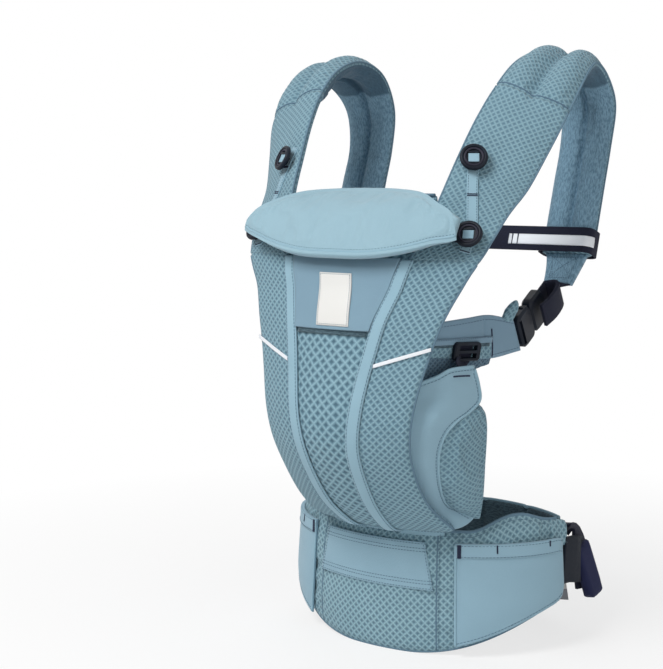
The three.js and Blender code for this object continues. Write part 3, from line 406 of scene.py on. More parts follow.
# %% Putting the rings in order
def first_order(ring, points, near, way, across, outward):
    """A middle ring in order: its front row along across, then its back row the other way."""
    half = len(ring) // 2
    ring = np.array(walk(ring, near))
    flat = points[ring] - points[ring].mean(0)
    flat = flat - np.outer(flat @ way, way)
    wide = np.linalg.svd(flat, full_matrices=False)[2][0]
    wide = wide * (1 if wide @ np.array(across) > 0 else -1)
    out = unit(np.cross(way, wide))
    out = out * (1 if out @ np.array(outward) > 0 else -1)
    laid = np.stack([flat @ wide, flat @ out], -1)
    laid = laid / np.abs(laid).max(0)
    best = None
    for turn in (1, -1):
        for shift in range(len(ring)):
            trial = np.roll(np.arange(len(ring))[::turn], shift)
            spots = laid[trial]
            spans = [spots[half - 1] - spots[half], spots[0] - spots[-1]]
            steep = sum(span[1] / (abs(span[0]) + abs(span[1]) + 1e-9) for span in spans)
            score = spots[half - 1, 0] - spots[0, 0] + spots[half, 0] - spots[-1, 0] + 2 * steep
            if best is None or score > best[0]:
                best = (score, trial)
    return list(ring[best[1]])


def next_order(before, ring, points, near):
    """The next ring in the order of the one before, by which points are joined to which."""
    open_spots = {i: near[point] & set(ring) for i, point in enumerate(before)}
    found = {}
    while open_spots:
        sure = [(i, next(iter(choice))) for i, choice in open_spots.items() if len(choice) == 1]
        if not sure:
            sure = [min(((i, j) for i, choice in open_spots.items() for j in choice),
                        key=lambda pair: np.linalg.norm(points[before[pair[0]]] - points[pair[1]]))]
        i, j = sure[0]
        found[i] = j
        del open_spots[i]
        for choice in open_spots.values():
            choice.discard(j)
    return [found[i] for i in range(len(before))]


def slab_rows(node, towards, steps, across, outward):
    """The front and back rows of a slab, ring by ring, as two arrays of points."""
    points, near = welded(node)
    count = 2 * (steps + 1)
    rings = rings_of(points, near, towards, count)
    sizes = [len(ring) for ring in rings]
    if set(sizes) != {count}:
        raise ValueError(f"{node}: its rings have {sizes} points, not {count}")
    ways = unit(np.gradient(np.array([points[ring].mean(0) for ring in rings]), axis=0))
    middle = len(rings) // 2
    orders = {middle: first_order(rings[middle], points, near, ways[middle], across, outward)}
    for k in [*range(middle + 1, len(rings)), *range(middle - 1, -1, -1)]:
        orders[k] = next_order(orders[k - 1 if k > middle else k + 1], rings[k], points, near)
    rows = np.array([points[orders[k]] for k in range(len(rings))])
    return rows[:, :steps + 1], rows[:, steps + 1:][:, ::-1]


print("slab reader ready")

# %% [markdown]
# Cloth carries its front and back as two grids of points. Splines run through the slab's rows,
# and `crowd` packs the columns closer at the edges, where a padded piece turns over to its seam.
# A subdivision modifier would smooth the slab too, but seams and hems have to know how far along
# and across the cloth they lie, and a grid keeps that.
# %% Curves and distances on a grid
def spline(grid, places):
    """Points of smooth curves through the grid's rows, at places counted in rows."""
    grid = np.concatenate([[2 * grid[0] - grid[1]], grid, [2 * grid[-1] - grid[-2]]])
    places = np.clip(places, 0, len(grid) - 3 - 1e-9)
    k = places.astype(int)
    t = (places - k).reshape(-1, *[1] * (grid.ndim - 1))
    a, b, c, d = grid[k], grid[k + 1], grid[k + 2], grid[k + 3]
    return 0.5 * (2 * b + (c - a) * t + (2 * a - 5 * b + 4 * c - d) * t**2
                  + (3 * b - a - 3 * c + d) * t**3)


def spread(count, crowd):
    """Shares from 0 to 1, evenly spaced for crowd 0 and packed at both ends for crowd 1."""
    even = np.linspace(0, 1, count)
    return (1 - crowd) * even + crowd * (1 - np.cos(np.pi * even)) / 2


def lengths(grid, axis):
    """How far each point of a grid lies along one of its two axes, on the cloth."""
    gaps = np.linalg.norm(np.diff(grid, axis=axis), axis=-1)
    start = np.zeros_like(np.take(gaps, [0], axis))
    return np.concatenate([start, np.cumsum(gaps, axis)], axis)


def between(grid, i, j, s, t):
    """The grid's points by shares s and t of the way from row i and column j to the next ones."""
    return ((grid[i, j] * (1 - t) + grid[i, j + 1] * t) * (1 - s)
            + (grid[i + 1, j] * (1 - t) + grid[i + 1, j + 1] * t) * s)


def bell(distance, width):
    """1 at no distance, a third at the width and almost 0 at twice the width."""
    return np.exp(-((distance / width) ** 2))


def line_of(spots):
    """A line as two arrays, its points and its normals, from a list of such pairs."""
    return np.array([spot[0] for spot in spots]), np.array([spot[1] for spot in spots])


print("grid helpers ready")

# %% Cloth as two grids
MIRROR = np.array([-1, 1, 1])


class Cloth:
    """A piece of cloth: its front and back as grids, in rows along it and columns across it."""

    def __init__(self, front, back):
        self.front, self.back = front, back
        self.middle = (front + back) / 2
        rows, columns = self.middle.shape[:2]
        width, far = lengths(self.middle, 1), lengths(self.middle, 0)
        self.across = width - width[:, [columns // 2]]
        self.along = np.repeat(far[:, [columns // 2]], columns, 1)
        down, over = np.gradient(self.middle, axis=0), np.gradient(self.middle, axis=1)
        normal = unit(np.cross(over, down))
        self.normal = normal * np.sign((normal * (front - back)).sum(-1).mean())
        self.half = np.linalg.norm(front - back, axis=-1) / 2
        self.side_rim = np.minimum(width, width[:, [-1]] - width)
        self.rim = np.minimum.reduce([self.side_rim, far, far[[-1]] - far])

    def shifted(self, move):
        """The cloth moved as a whole, by one amount or by one for each point."""
        return Cloth(self.front + move, self.back + move)

    def lifted(self, front=0.0, back=0.0):
        """The cloth with its faces moved outward by so much, a number or a grid."""
        n = self.normal
        return Cloth(self.front + n * np.asarray(front)[..., None],
                     self.back - n * np.asarray(back)[..., None])

    def size(self):
        """How wide and how long the cloth is when it lies flat."""
        wide = np.linalg.norm(np.diff(self.middle, axis=1), axis=-1).sum(1).max()
        return float(wide), float(lengths(self.middle, 0).max())

    def spot(self, row, column, lift=0.0):
        """A point on the front, by shares of the way along and across, and the normal there."""
        rows, columns = self.front.shape[:2]
        r, c = row * (rows - 1), column * (columns - 1)
        i, j = min(int(r), rows - 2), min(int(c), columns - 2)
        normal = unit(between(self.normal, i, j, r - i, c - j))
        return between(self.front, i, j, r - i, c - j) + normal * lift, normal

    def line(self, start, end, count, lift=0.0):
        """A straight line on the front, between two places given as (row, column) shares."""
        return line_of([self.spot(*(np.array(start) + (np.array(end) - start) * t), lift)
                        for t in np.linspace(0, 1, count)])


def cloth_over(node, towards, steps, across, outward, rows, columns, crowd=0.0, row_crowd=0.0):
    """The node's cloth, with so many rows along it and columns across it."""
    at_rows, at_columns = spread(rows, row_crowd), spread(columns, crowd) * steps

    def fine(grid):
        lengthwise = spline(grid, at_rows * (len(grid) - 1))
        return spline(lengthwise.swapaxes(0, 1), at_columns).swapaxes(0, 1)

    cloth = Cloth(*[fine(grid) for grid in slab_rows(node, towards, steps, across, outward)])
    print(node, "is", [round(side / MM) for side in cloth.size()], "mm across and along")
    return cloth


def mirrored(item):
    """A cloth or a line of the left side, from the one of the right side."""
    if isinstance(item, Cloth):
        return Cloth(item.front * MIRROR, item.back * MIRROR)
    return tuple(rows * MIRROR for rows in item)


def on_side(item, side):
    """The item itself for the right side, and its mirror image for the left."""
    return item if side == "right" else mirrored(item)


def both(item):
    """An item of the right side and its mirror image, each with the name of its side."""
    return [(side, on_side(item, side)) for side in ("right", "left")]


print("cloth helpers ready")

# %% [markdown]
# The grids become one closed mesh. Writing its points and faces in code, and not modelling it by
# hand, gives the weave's pattern a true place in metres on the mesh's UV map, and lets the inner
# face have a lining of its own.
# %% Making a mesh of cloth
def make_mesh(name, points, faces, material, uvs=None, slots=None, more=()):
    """A smooth mesh, with places on the cloth and further materials where it has them."""
    mesh = bpy.data.meshes.new(name)
    mesh.from_pydata([tuple(p) for p in points], [], faces)
    mesh.validate()
    piece = bpy.data.objects.new(name, mesh)
    bpy.context.scene.collection.objects.link(piece)
    for each in (material, *more):
        mesh.materials.append(each)
    if uvs is not None:
        layer = mesh.uv_layers.new(name="cloth")
        layer.data.foreach_set("uv", np.asarray(uvs, np.float32).ravel())
    if slots is not None:
        mesh.polygons.foreach_set("material_index", slots)
    mesh.polygons.foreach_set("use_smooth", [True] * len(mesh.polygons))
    mesh.update()
    return piece


def squares(grid):
    """The numbers of a grid's points, and of the four corners of each square in it."""
    rows, columns = grid.shape[:2]
    number = np.arange(rows * columns).reshape(rows, columns)
    corners = [number[:-1, :-1], number[:-1, 1:], number[1:, 1:], number[1:, :-1]]
    return number, np.stack(corners, -1).reshape(-1, 4)


def cloth_piece(name, cloth, material, lining=None, body="carrier", replaces=()):
    """A closed mesh of the cloth: its front, its back and the edge between them."""
    number, front = squares(cloth.front)
    back = front[:, ::-1] + number.size
    loop = np.concatenate([number[0, :], number[1:, -1], number[-1, -2::-1], number[-2:0:-1, 0]])
    after = np.roll(loop, -1)
    edge = np.stack([loop, loop + number.size, after + number.size, after], -1)
    faces = np.concatenate([front, back, edge])
    row, column = number.shape[0] // 2, number.shape[1] // 2
    over = cloth.front[row, column + 1] - cloth.front[row, column]
    down = cloth.front[row + 1, column] - cloth.front[row, column]
    if np.cross(over, down) @ (cloth.front - cloth.back)[row, column] < 0:
        faces = faces[:, ::-1]
    points = np.concatenate([cloth.front.reshape(-1, 3), cloth.back.reshape(-1, 3)])
    place = np.tile(np.stack([cloth.across, cloth.along], -1).reshape(-1, 2), (2, 1))
    slots = np.zeros(len(faces), np.int32)
    if lining is not None:
        slots[len(front):len(front) + len(back)] = 1
    piece = make_mesh(name, points, faces.tolist(), material, place[faces.ravel()],
                      slots, [lining] if lining else [])
    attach(piece, body)
    if replaces:
        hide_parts(*replaces)
    return piece


print("cloth pieces can be made")

# %% [markdown]
# A padded edge isn't square: both faces turn over and meet at the seam. `rolled` thins the cloth
# towards its rim along a quarter circle. `inflate` then lets Blender's cloth simulation fill the
# piece from inside: the seams are pinned, the rest swells by a capped amount and puckers beside
# them. Sculpted folds could look the same from one side, but simulated ones are right all round.
# %% Rolled edges and inflated pads
FILLING_FRAMES = 14
FILLING_PRESSURE = 4.0
CLOTH_STIFFNESS = 15.0


def rolled(cloth, radius, seam=1.0 * MM, rim=None):
    """The cloth with its edges rolled over to a thin seam."""
    reach = np.clip((cloth.rim if rim is None else rim) / radius, 0, 1)
    share = np.sqrt(np.clip(1 - (1 - reach) ** 2, 0, 1))
    half = seam / 2 + (np.maximum(cloth.half, seam / 2) - seam / 2) * share
    n = cloth.normal * half[..., None]
    return Cloth(cloth.middle + n, cloth.middle - n)


def inflate(piece, sewn, cap):
    """Swells a cloth piece by at most the cap, with a grid that is true where it is sewn."""
    rest = np.empty(3 * len(piece.data.vertices))
    piece.data.vertices.foreach_get("co", rest)
    group = piece.vertex_groups.new(name="sewn")
    group.add(np.flatnonzero(np.tile(sewn.ravel(), 2)).tolist(), 1.0, "REPLACE")
    bpy.context.view_layer.objects.active = piece
    bpy.ops.object.modifier_add(type="CLOTH")
    modifier = piece.modifiers[-1]
    settings = modifier.settings
    settings.quality = 5
    settings.mass = 0.2
    settings.tension_stiffness = CLOTH_STIFFNESS
    settings.compression_stiffness = CLOTH_STIFFNESS
    settings.bending_stiffness = 0.05
    settings.use_pressure = True
    settings.uniform_pressure_force = FILLING_PRESSURE
    settings.effector_weights.gravity = 0
    settings.shrink_min = -0.03
    settings.vertex_group_mass = "sewn"
    scene = bpy.context.scene
    scene.frame_start, scene.frame_end = 1, FILLING_FRAMES
    modifier.point_cache.frame_start = 1
    modifier.point_cache.frame_end = FILLING_FRAMES
    for moment in range(1, FILLING_FRAMES + 1):
        scene.frame_set(moment)
    bpy.ops.object.modifier_apply(modifier=modifier.name)
    scene.frame_set(1)
    swollen = np.empty_like(rest)
    piece.data.vertices.foreach_get("co", swollen)
    move = (swollen - rest).reshape(-1, 3)
    far = np.linalg.norm(move, axis=1, keepdims=True)
    move *= np.tanh(far / cap) * cap / np.maximum(far, 1e-9)
    piece.data.vertices.foreach_set("co", (rest.reshape(-1, 3) + move).ravel())
    piece.vertex_groups.clear()
    piece.data.update()
    print(piece.name, "swells by up to", round(float(np.abs(move).max()) / MM, 1), "mm")


def paired_piece(name, node, cloth, material, lining=None, sewn=None, cap=0):
    """The cloth's piece on the right and its mirror image on the left, padded where it is filled."""
    for side, each in both(cloth):
        piece = cloth_piece(f"{name}_{side}", each, material, lining, replaces=[f"{node}_{side}"])
        if sewn is not None:
            inflate(piece, sewn, cap)


print("padding helpers ready")

# %% [markdown]
# Sewn work lives on its trim. A seam is a line that keeps its distance from an edge of the cloth;
# along it run stitches, a tape or a piping. One stitch is modelled once, as a small stretched
# ball, and copied along the line by its points, so a metre of seam costs little.
# %% Lines on cloth
def seam(cloth, side, inset, start=0.0, end=1.0, count=60, lift=0.0):
    """A line on the front at a distance from its low, high, first or last side."""
    axis = 1 if side in ("low", "high") else 0
    far = lengths(cloth.front, axis)
    rows, columns = cloth.front.shape[:2]
    spots = []
    for share in np.linspace(start, end, count):
        if axis == 1:
            run = far[round(share * (rows - 1))]
            goal = inset if side == "low" else run[-1] - inset
            place = (share, float(np.interp(goal, run, np.linspace(0, 1, columns))))
        else:
            run = far[:, round(share * (columns - 1))]
            goal = inset if side == "first" else run[-1] - inset
            place = (float(np.interp(goal, run, np.linspace(0, 1, rows))), share)
        spots.append(cloth.spot(*place, lift))
    return line_of(spots)


def evened(line, pitch):
    """The line's points and normals again, evenly spaced by about a pitch, with its directions."""
    points, normals = line
    run = np.concatenate([[0], np.cumsum(np.linalg.norm(np.diff(points, axis=0), axis=1))])
    places = np.linspace(0, run[-1], max(int(round(run[-1] / pitch)) + 1, 2))

    def even(rows):
        return np.stack([np.interp(places, run, rows[:, k]) for k in range(3)], -1)

    points, normals = even(points), unit(even(normals))
    return points, normals, unit(np.gradient(points, axis=0)), places


print("seam lines ready")

# %% One stitch, and runs of it
bpy.ops.mesh.primitive_uv_sphere_add(segments=6, ring_count=4, radius=1)
bpy.ops.object.mode_set(mode="EDIT")
bpy.ops.mesh.select_all(action="SELECT")
bpy.ops.transform.resize(value=(1.0, 0.9, 1.0))
bpy.ops.object.mode_set(mode="OBJECT")
ball = bpy.context.object
STITCH_POINTS = np.array([vertex.co[:] for vertex in ball.data.vertices])
STITCH_FACES = [list(face.vertices) for face in ball.data.polygons]
bpy.data.objects.remove(ball)


class Sewing:
    """Gathers the stitches of one colour on one body, and makes them one mesh."""

    def __init__(self, name, material, body="carrier"):
        self.name, self.material, self.body = name, material, body
        self.points, self.faces = [], []

    def add(self, place, length, along, up, thick, high):
        axes = np.stack([np.cross(up, along) * thick, up * high, along * length / 2])
        start = len(self.points) * len(STITCH_POINTS)
        self.points.append(STITCH_POINTS @ axes + place)
        self.faces += [[start + i for i in face] for face in STITCH_FACES]

    def run(self, line, pitch=3.4 * MM, length=3.0 * MM, both_sides=False, thick=0.34 * MM):
        """Stitches end to end along a line, on the left side too where it is asked for."""
        points, normals, ways, _ = evened(line, pitch)
        for place, up, way in zip(points, normals, ways):
            self.add(place, length, way, up, thick, thick)
            if both_sides:
                self.add(place * MIRROR, length, way * MIRROR, up * MIRROR, thick, thick)

    def tack(self, line, width):
        """A bar tack: close stitches side by side across a short line."""
        points, normals, ways, _ = evened(line, 0.55 * MM)
        for place, up, way in zip(points, normals, ways):
            self.add(place, width, unit(np.cross(up, way)), up, 0.36 * MM, 0.7 * MM)

    def finish(self):
        piece = make_mesh(self.name, np.concatenate(self.points), self.faces, self.material)
        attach(piece, self.body)
        print(self.name, "holds", len(self.points), "stitches")


blue_sewing = Sewing("blue_stitches", THREAD)
navy_sewing = Sewing("navy_bar_tacks", DARK_THREAD)
print("stitch of", len(STITCH_FACES), "faces ready")

# %% [markdown]
# A tape is a thin strip along a line, slightly arched where it is sewn down at both edges. A
# piping or a folded binding is a closed tube with a flat oval section. A curve with a bevel would
# make the tube too, but its flat side would turn by itself, while this one follows the cloth.
# %% Tapes and pipings
def strip(line, width, thickness, columns=7, arch=0.0, sink=0.3 * MM):
    """The cloth of a tape that lies on a line, its underside sunk a little into what it is on."""
    points, normals, ways, _ = line if len(line) == 4 else evened(line, 3 * MM)
    side = unit(np.cross(normals, ways))
    share = np.linspace(-1, 1, columns)
    middle = points[:, None] + side[:, None] * (share * width / 2)[None, :, None]
    rise = thickness + arch * (1 - share**2)
    up = normals[:, None]
    return Cloth(middle + up * rise[None, :, None], middle - up * sink)


def tube(name, line, wide, high, material, body="carrier"):
    """A closed tube along a line: wide across it and high along its normals."""
    sides = 10
    points, normals, ways, places = evened(line, 2.5 * MM)
    side = unit(np.cross(normals, ways))
    up = np.cross(ways, side)
    turn = np.linspace(0, 2 * np.pi, sides, endpoint=False)
    rings = (points[:, None] + side[:, None] * (np.cos(turn) * wide / 2)[None, :, None]
             + up[:, None] * (np.sin(turn) * high / 2)[None, :, None])
    number = np.arange(len(points) * sides).reshape(-1, sides)
    around = np.roll(number, -1, 1)
    faces = np.stack([number[:-1], around[:-1], around[1:], number[1:]], -1).reshape(-1, 4)
    faces = faces.tolist() + [number[0][::-1].tolist(), number[-1].tolist()]
    apart = np.pi * (wide + high) / 2 / sides
    uvs = [(k % sides * apart, places[k // sides]) for face in faces for k in face]
    piece = make_mesh(name, rings.reshape(-1, 3), faces, material, uvs)
    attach(piece, body)


def paired_tube(name, line, wide, high, material):
    """A tube on the right and its mirror image on the left."""
    for side, each in both(line):
        tube(f"{name}_{side}", each, wide, high, material)


print("tapes and pipings ready")

# %% Lines and patches on another cloth, and round corners
def laid(line, cloth):
    """The line moved to the nearest places on a cloth's front."""
    corners = squares(cloth.front)[1].tolist()
    tree = BVHTree.FromPolygons(cloth.front.reshape(-1, 3).tolist(), corners)
    points, normals = line_of([tree.find_nearest(Vector(point))[:2] for point in line[0]])
    return points, normals * np.sign((normals * line[1]).sum(1, keepdims=True))


def patch(cloth, rows, columns, lift):
    """A thin piece that lies on some rows and columns of a cloth's front."""
    front, normal = cloth.front[rows, columns], cloth.normal[rows, columns]
    return Cloth(front + normal * lift, front - normal * 0.2 * MM)


def round_corner(cloth, last_row, last_column, radius):
    """The cloth with one corner drawn in to a round one."""
    rows, columns = cloth.front.shape[:2]
    along, across = lengths(cloth.middle, 0), lengths(cloth.middle, 1)
    down = along[[-1]] - along if last_row else along
    side = across[:, [-1]] - across if last_column else across
    a, b = np.clip(radius - down, 0, None), np.clip(radius - side, 0, None)
    pull = 1 - np.maximum(a, b) / np.maximum(np.hypot(a, b), 1e-9)
    pull = np.where((a > 0) & (b > 0), pull, 0)
    ways = [-1 if last else 1 for last in (last_row, last_column)]
    at_rows = np.arange(rows)[:, None] + ways[0] * pull * a / along.max() * (rows - 1)
    at_columns = (np.arange(columns)[None]
                  + ways[1] * pull * b / across.max(1, keepdims=True) * (columns - 1))
    i = np.clip(at_rows.astype(int), 0, rows - 2)
    j = np.clip(at_columns.astype(int), 0, columns - 2)
    s, t = (at_rows - i)[..., None], (at_columns - j)[..., None]
    return Cloth(between(cloth.front, i, j, s, t), between(cloth.back, i, j, s, t))


print("patches and round corners ready")

# %% [markdown]
# The waist belt is a padded ring of open mesh with rolled edges, bound along the top where the
# panel is sewn to it. It starts a little thinner than its solid, and the cloth simulation fills
# it between the sewn edges and two upright seams.
# %% Waist belt
BELT_ROWS, BELT_COLUMNS = 170, 34
BELT_SEAM_PLACES = (58 * MM, -74 * MM)
belt = cloth_over("waist_belt", (-0.3, 1, 0), 4, UP, FRONT, BELT_ROWS, BELT_COLUMNS, 0.5)
belt = rolled(belt.lifted(-0.8 * MM, -0.8 * MM), 9 * MM, 2 * MM)
# The belt's inner face takes the dark lining, which is painted shade.
belt_piece = cloth_piece("belt_body", belt, BELT_MESH, PAINTED_SHADE_LINING, replaces=["waist_belt"])
belt_line = belt.front[:, BELT_COLUMNS // 2]
seam_rows = [int(np.abs(belt_line[:, 0] - x).argmin()) for x in BELT_SEAM_PLACES]
from_seam = np.min([np.abs(belt.along - belt.along[row]) for row in seam_rows], axis=0)
inflate(belt_piece, (belt.rim < 4 * MM) | (from_seam < 1.5 * MM), 1.5 * MM)

# %% Its bound edges and upright seams
for side, name, wide, high in (("high", "top_binding", 3.2, 2.6), ("low", "foot_piping", 2, 2)):
    tube(f"belt_{name}", seam(belt, side, 0, 0.004, 0.996, 180), wide * MM, high * MM, EDGE)
blue_sewing.run(seam(belt, "high", 5 * MM, 0.01, 0.99, 180, 0.2 * MM))
for row in seam_rows:
    share = row / (BELT_ROWS - 1)
    line = belt.line((share, 0.04), (share, 0.96), 50, 0.2 * MM)
    tube(f"belt_seam_{row}", line, 1.4 * MM, 1.0 * MM, EDGE)
    blue_sewing.run((line[0] + np.array([2.4 * MM, 0, 0]), line[1]))
print("belt bound, with upright seams at rows", seam_rows)

# %% [markdown]
# The belt's right end carries on as a short mesh flap, which covers the place where the waist
# buckle is sewn on. It is drawn on from the belt's own front, so that the two run into each other.
# %% Mesh flap over the root of the waist buckle
FLAP_FOOT = 97 * MM
right_end = 0 if belt.middle[0, 0, 0] > 0 else -1
inwards = 1 if right_end == 0 else -1
run = lengths(belt.front, 0)[:, BELT_COLUMNS // 2]
flap_row = np.where(np.abs(run - run[right_end]) > 10 * MM)[0][right_end]
root = belt.front[flap_row]
onward = unit(root - belt.front[flap_row + 5 * inwards])
flap = root[None] + onward[None] * np.linspace(-2, 20, 14)[:, None, None] * MM
outward = unit(np.cross(onward, UP))
outward = outward * np.sign(outward[:, :1])
flap = Cloth(flap + outward * 0.8 * MM, flap - outward * 1.6 * MM)
upper = flap.front[0, :, 2] > FLAP_FOOT
flap = rolled(Cloth(flap.front[:, upper], flap.back[:, upper]), 3 * MM, 1 * MM)
cloth_piece("belt_end_flap", round_corner(flap, True, True, 8 * MM), BELT_MESH)
print("flap reaches to y", round(float(flap.front[-1, :, 1].mean()) / MM), "mm")

# %% [markdown]
# A smooth sleeve is sewn on the belt's front. It has a hem of two seams along its top and its
# foot, and one seam at each slanted end. It lies a little to the left of the belt's middle, so it
# is pushed along the belt, and it sags slightly between its seams.
# %% Sleeve on the belt's front
SLEEVE_PUSH = -9.5
sleeve = cloth_over("belt_sleeve", (-1, 0, 0.1), 2, UP, FRONT, 90, 40, 0.3)
round_belt = unit(np.gradient(sleeve.middle, axis=0))
sleeve = sleeve.shifted(round_belt * SLEEVE_PUSH * MM - sleeve.normal * 0.5 * MM)
sag = np.sin(sleeve.along * 90) * np.sin(sleeve.across * 60) * 0.25 * MM
sleeve = sleeve.lifted(sag + np.clip(sleeve.rim / (6 * MM), 0, 1) * 0.5 * MM)
sleeve_piece = cloth_piece("sleeve_cloth", sleeve, SMOOTH, replaces=["belt_sleeve"])
for side in ("low", "high", "first", "last"):
    for inset in (1.6, 6, 9) if side in ("low", "high") else (1.6,):
        blue_sewing.run(seam(sleeve, side, inset * MM, lift=0.1 * MM), 3.0 * MM, 2.3 * MM)
wide, long = sleeve.size()

# %% [markdown]
# The hip pockets are smooth too. The open top has a doubled hem that stands proud, the front edge
# is piped, and navy bar tacks hold the opening. The two pockets don't sit quite alike on the
# belt, so the front edge of each is drawn to its own place.
# %% Hip pockets
FRONT_EDGE_DRAWN = {"right": 7, "left": -6}
pocket = cloth_over("belt_pocket_right", (-1, -1, 0), 6, UP, FRONT, 90, 60, 0.2)
slack = np.sin(pocket.along * 45 + 0.6) * np.sin(pocket.across * 38 + 1.0) * 0.5 * MM
pocket = pocket.lifted(slack * np.clip(pocket.rim / (10 * MM), 0, 1))
reach = np.clip(1 - pocket.along / (50 * MM), 0, 1) ** 2
ahead = -unit(np.gradient(pocket.middle, axis=0)) * reach[..., None] * MM


def drawn(forward):
    """The pocket with its front edge drawn forward by so many millimetres."""
    cloth = Cloth((pocket.front + ahead * forward)[:-2], (pocket.back + ahead * forward)[:-2])
    return round_corner(round_corner(cloth, True, False, 16 * MM), True, True, 9 * MM)


for side, forward in FRONT_EDGE_DRAWN.items():
    cloth = on_side(drawn(forward), side)
    piece = cloth_piece(f"pocket_cloth_{side}", cloth, SMOOTH, replaces=[f"belt_pocket_{side}"])
    wide, long = cloth.size()
    hem = strip(seam(cloth, "high", 6.8 * MM, 0.005, 0.97, 90), 13.4 * MM, 1.1 * MM)
    cloth_piece(f"pocket_hem_{side}", hem, SMOOTH)
    for inset in (1.8 * MM, 12.2 * MM):
        blue_sewing.run(seam(cloth, "high", inset, 0.02, 0.96, lift=1.1 * MM))
    blue_sewing.run(seam(cloth, "low", 3 * MM, 0.02, 0.98, lift=0.1 * MM))
    tube(f"pocket_piping_{side}", seam(cloth, "first", 0.6 * MM, 0.01, 0.99, lift=0.2 * MM),
         2.4 * MM, 2.2 * MM, TAPE)
    for share, steps, width in ((0.028, 14, 4.4), (0.29, 10, 1.8), (0.8, 9, 1.8)):
        spots = [cloth.spot(share, 0.985 - step * 0.011, 1.3 * MM) for step in range(steps)]
        navy_sewing.tack(line_of(spots), width * MM)
    print(piece.name, "is", round(wide / MM), "by", round(long / MM), "mm")

# %% [markdown]
# At the back a lumbar pad closes the ring. It is quilted in four upright channels of mesh on the
# outside, with the heathered lining against the back, darkened as painted shade. The three grooves
# between them are sunk before the filling, and pinned while the channels swell.
# %% Lumbar pad
CHANNELS = 4
lumbar = cloth_over("lumbar_pad", RIGHT, 4, UP, BACK, 110, 34, 0.5, 0.1)
lumbar = rolled(lumbar.lifted(-0.5 * MM, -0.5 * MM), 8 * MM, 2 * MM)
long = lumbar.along.max()
from_groove = np.abs(((lumbar.along / long * CHANNELS) + 0.5) % 1 - 0.5) * long / CHANNELS
groove = bell(from_groove, 2.2 * MM)
inside = (lumbar.along > 30 * MM) & (lumbar.along < long - 30 * MM)
lumbar = lumbar.lifted(-2.6 * MM * groove * inside, -2.6 * MM * groove * inside)
lumbar_piece = cloth_piece("lumbar_cushion", lumbar, BELT_MESH, PAINTED_SHADE_LINING,
                           replaces=["lumbar_pad"])
inflate(lumbar_piece, (lumbar.rim < 3 * MM) | (groove * inside > 0.6), 1.5 * MM)
for side in ("low", "high"):
    line = seam(lumbar, side, 0, 0.01, 0.99)
    tube(f"lumbar_binding_{side}", line, 4 * MM, 3.4 * MM, TAPE)

# %% [markdown]
# The body panel is a spacer mesh, a few millimetres thick and firm enough to hold its bulge. Its
# centre and sides meet under two twill tapes, each sewn down along both edges. The centre puffs
# a little between the tapes, and its ends are thinned to go into their seams.
# %% Panel centre
PANEL_ROWS, PANEL_COLUMNS = 150, 70
center = cloth_over("panel_center", (0, 1, -1), 6, RIGHT, FRONT, PANEL_ROWS, PANEL_COLUMNS)
puff = 1.2 * MM * np.sin(np.pi * np.linspace(0, 1, PANEL_COLUMNS))


def thinned(cloth, distance, reach=7 * MM, edge=2 * MM):
    """The cloth with its back drawn up to its front where the distance to an end gets small."""
    share = np.sqrt(1 - (1 - np.clip(distance / reach, 0, 1)) ** 2)
    thick = edge + (2 * cloth.half - edge) * share
    return Cloth(cloth.front, cloth.front - cloth.normal * thick[..., None])


to_end = np.minimum(center.along, center.along.max() - center.along)
center_piece = cloth_piece("panel_center_mesh", thinned(center.lifted(puff - 1.0 * MM), to_end),
                           PANEL_MESH, LINING, replaces=["panel_center"])

# %% Panel sides, joined to the straps' front legs
flank = cloth_over("panel_side_right", (-0.3, 1, -0.6), 4, RIGHT, FRONT, 130, 40, 0.3)
flank_width = lengths(flank.middle, 1)
flank = rolled(flank, 6 * MM, 3 * MM, flank_width[:, [-1]] - flank_width)
leg = cloth_over("strap_front_right", (0, -0.5, -1), 4, RIGHT, FRONT, 110, 40, 0.3)
leg = rolled(leg, 4 * MM, 3 * MM, leg.side_rim)


def joined(first, first_row, second, second_row, reach, bulge=0):
    """Two cloths with a row of one and a row of the other brought together."""
    share = np.linspace(0, 1, first.front.shape[1])[:, None]
    out = unit(first.middle[first_row, -1] - first.middle[first_row, 0]) * bulge * share**3
    sides = []
    for one, other in ((first.front, second.front), (first.back, second.back)):
        meet = (one[first_row] + other[second_row]) / 2 + out
        for grid, row in ((one, first_row), (other, second_row)):
            far = np.linalg.norm(grid.mean(1) - grid[row].mean(0), axis=1)[:, None, None]
            sides.append(grid + (meet - grid[row]) * bell(far, reach))
    return Cloth(sides[0], sides[2]), Cloth(sides[1], sides[3])


flank, leg = joined(flank, -1, leg, 0, 26 * MM, 5 * MM)
inward = unit(flank.middle[0, 0] - flank.middle[0, -1])
trim = ((flank.across - flank.across.min(1, keepdims=True)) / (66 * MM)) ** 2
trim = 15 * MM * trim * bell(flank.along, 16 * MM)
flank = flank.shifted(inward * trim[..., None])
flank = thinned(flank, flank.along)
paired_piece("panel_side_mesh", "panel_side", flank, SIDE_MESH, LINING)
paired_tube("panel_edge_binding", seam(flank, "high", 0, 0.01, 0.99, 110), 2.4 * MM, 2.8 * MM, EDGE)
for name, side in (("top", "last"), ("foot", "first")):
    tube(f"panel_{name}_binding", seam(center, side, 0, 0.01, 0.99), 3 * MM, 4.4 * MM, EDGE)
print("panel's foot is trimmed by up to", round(float(trim.max()) / MM), "mm")

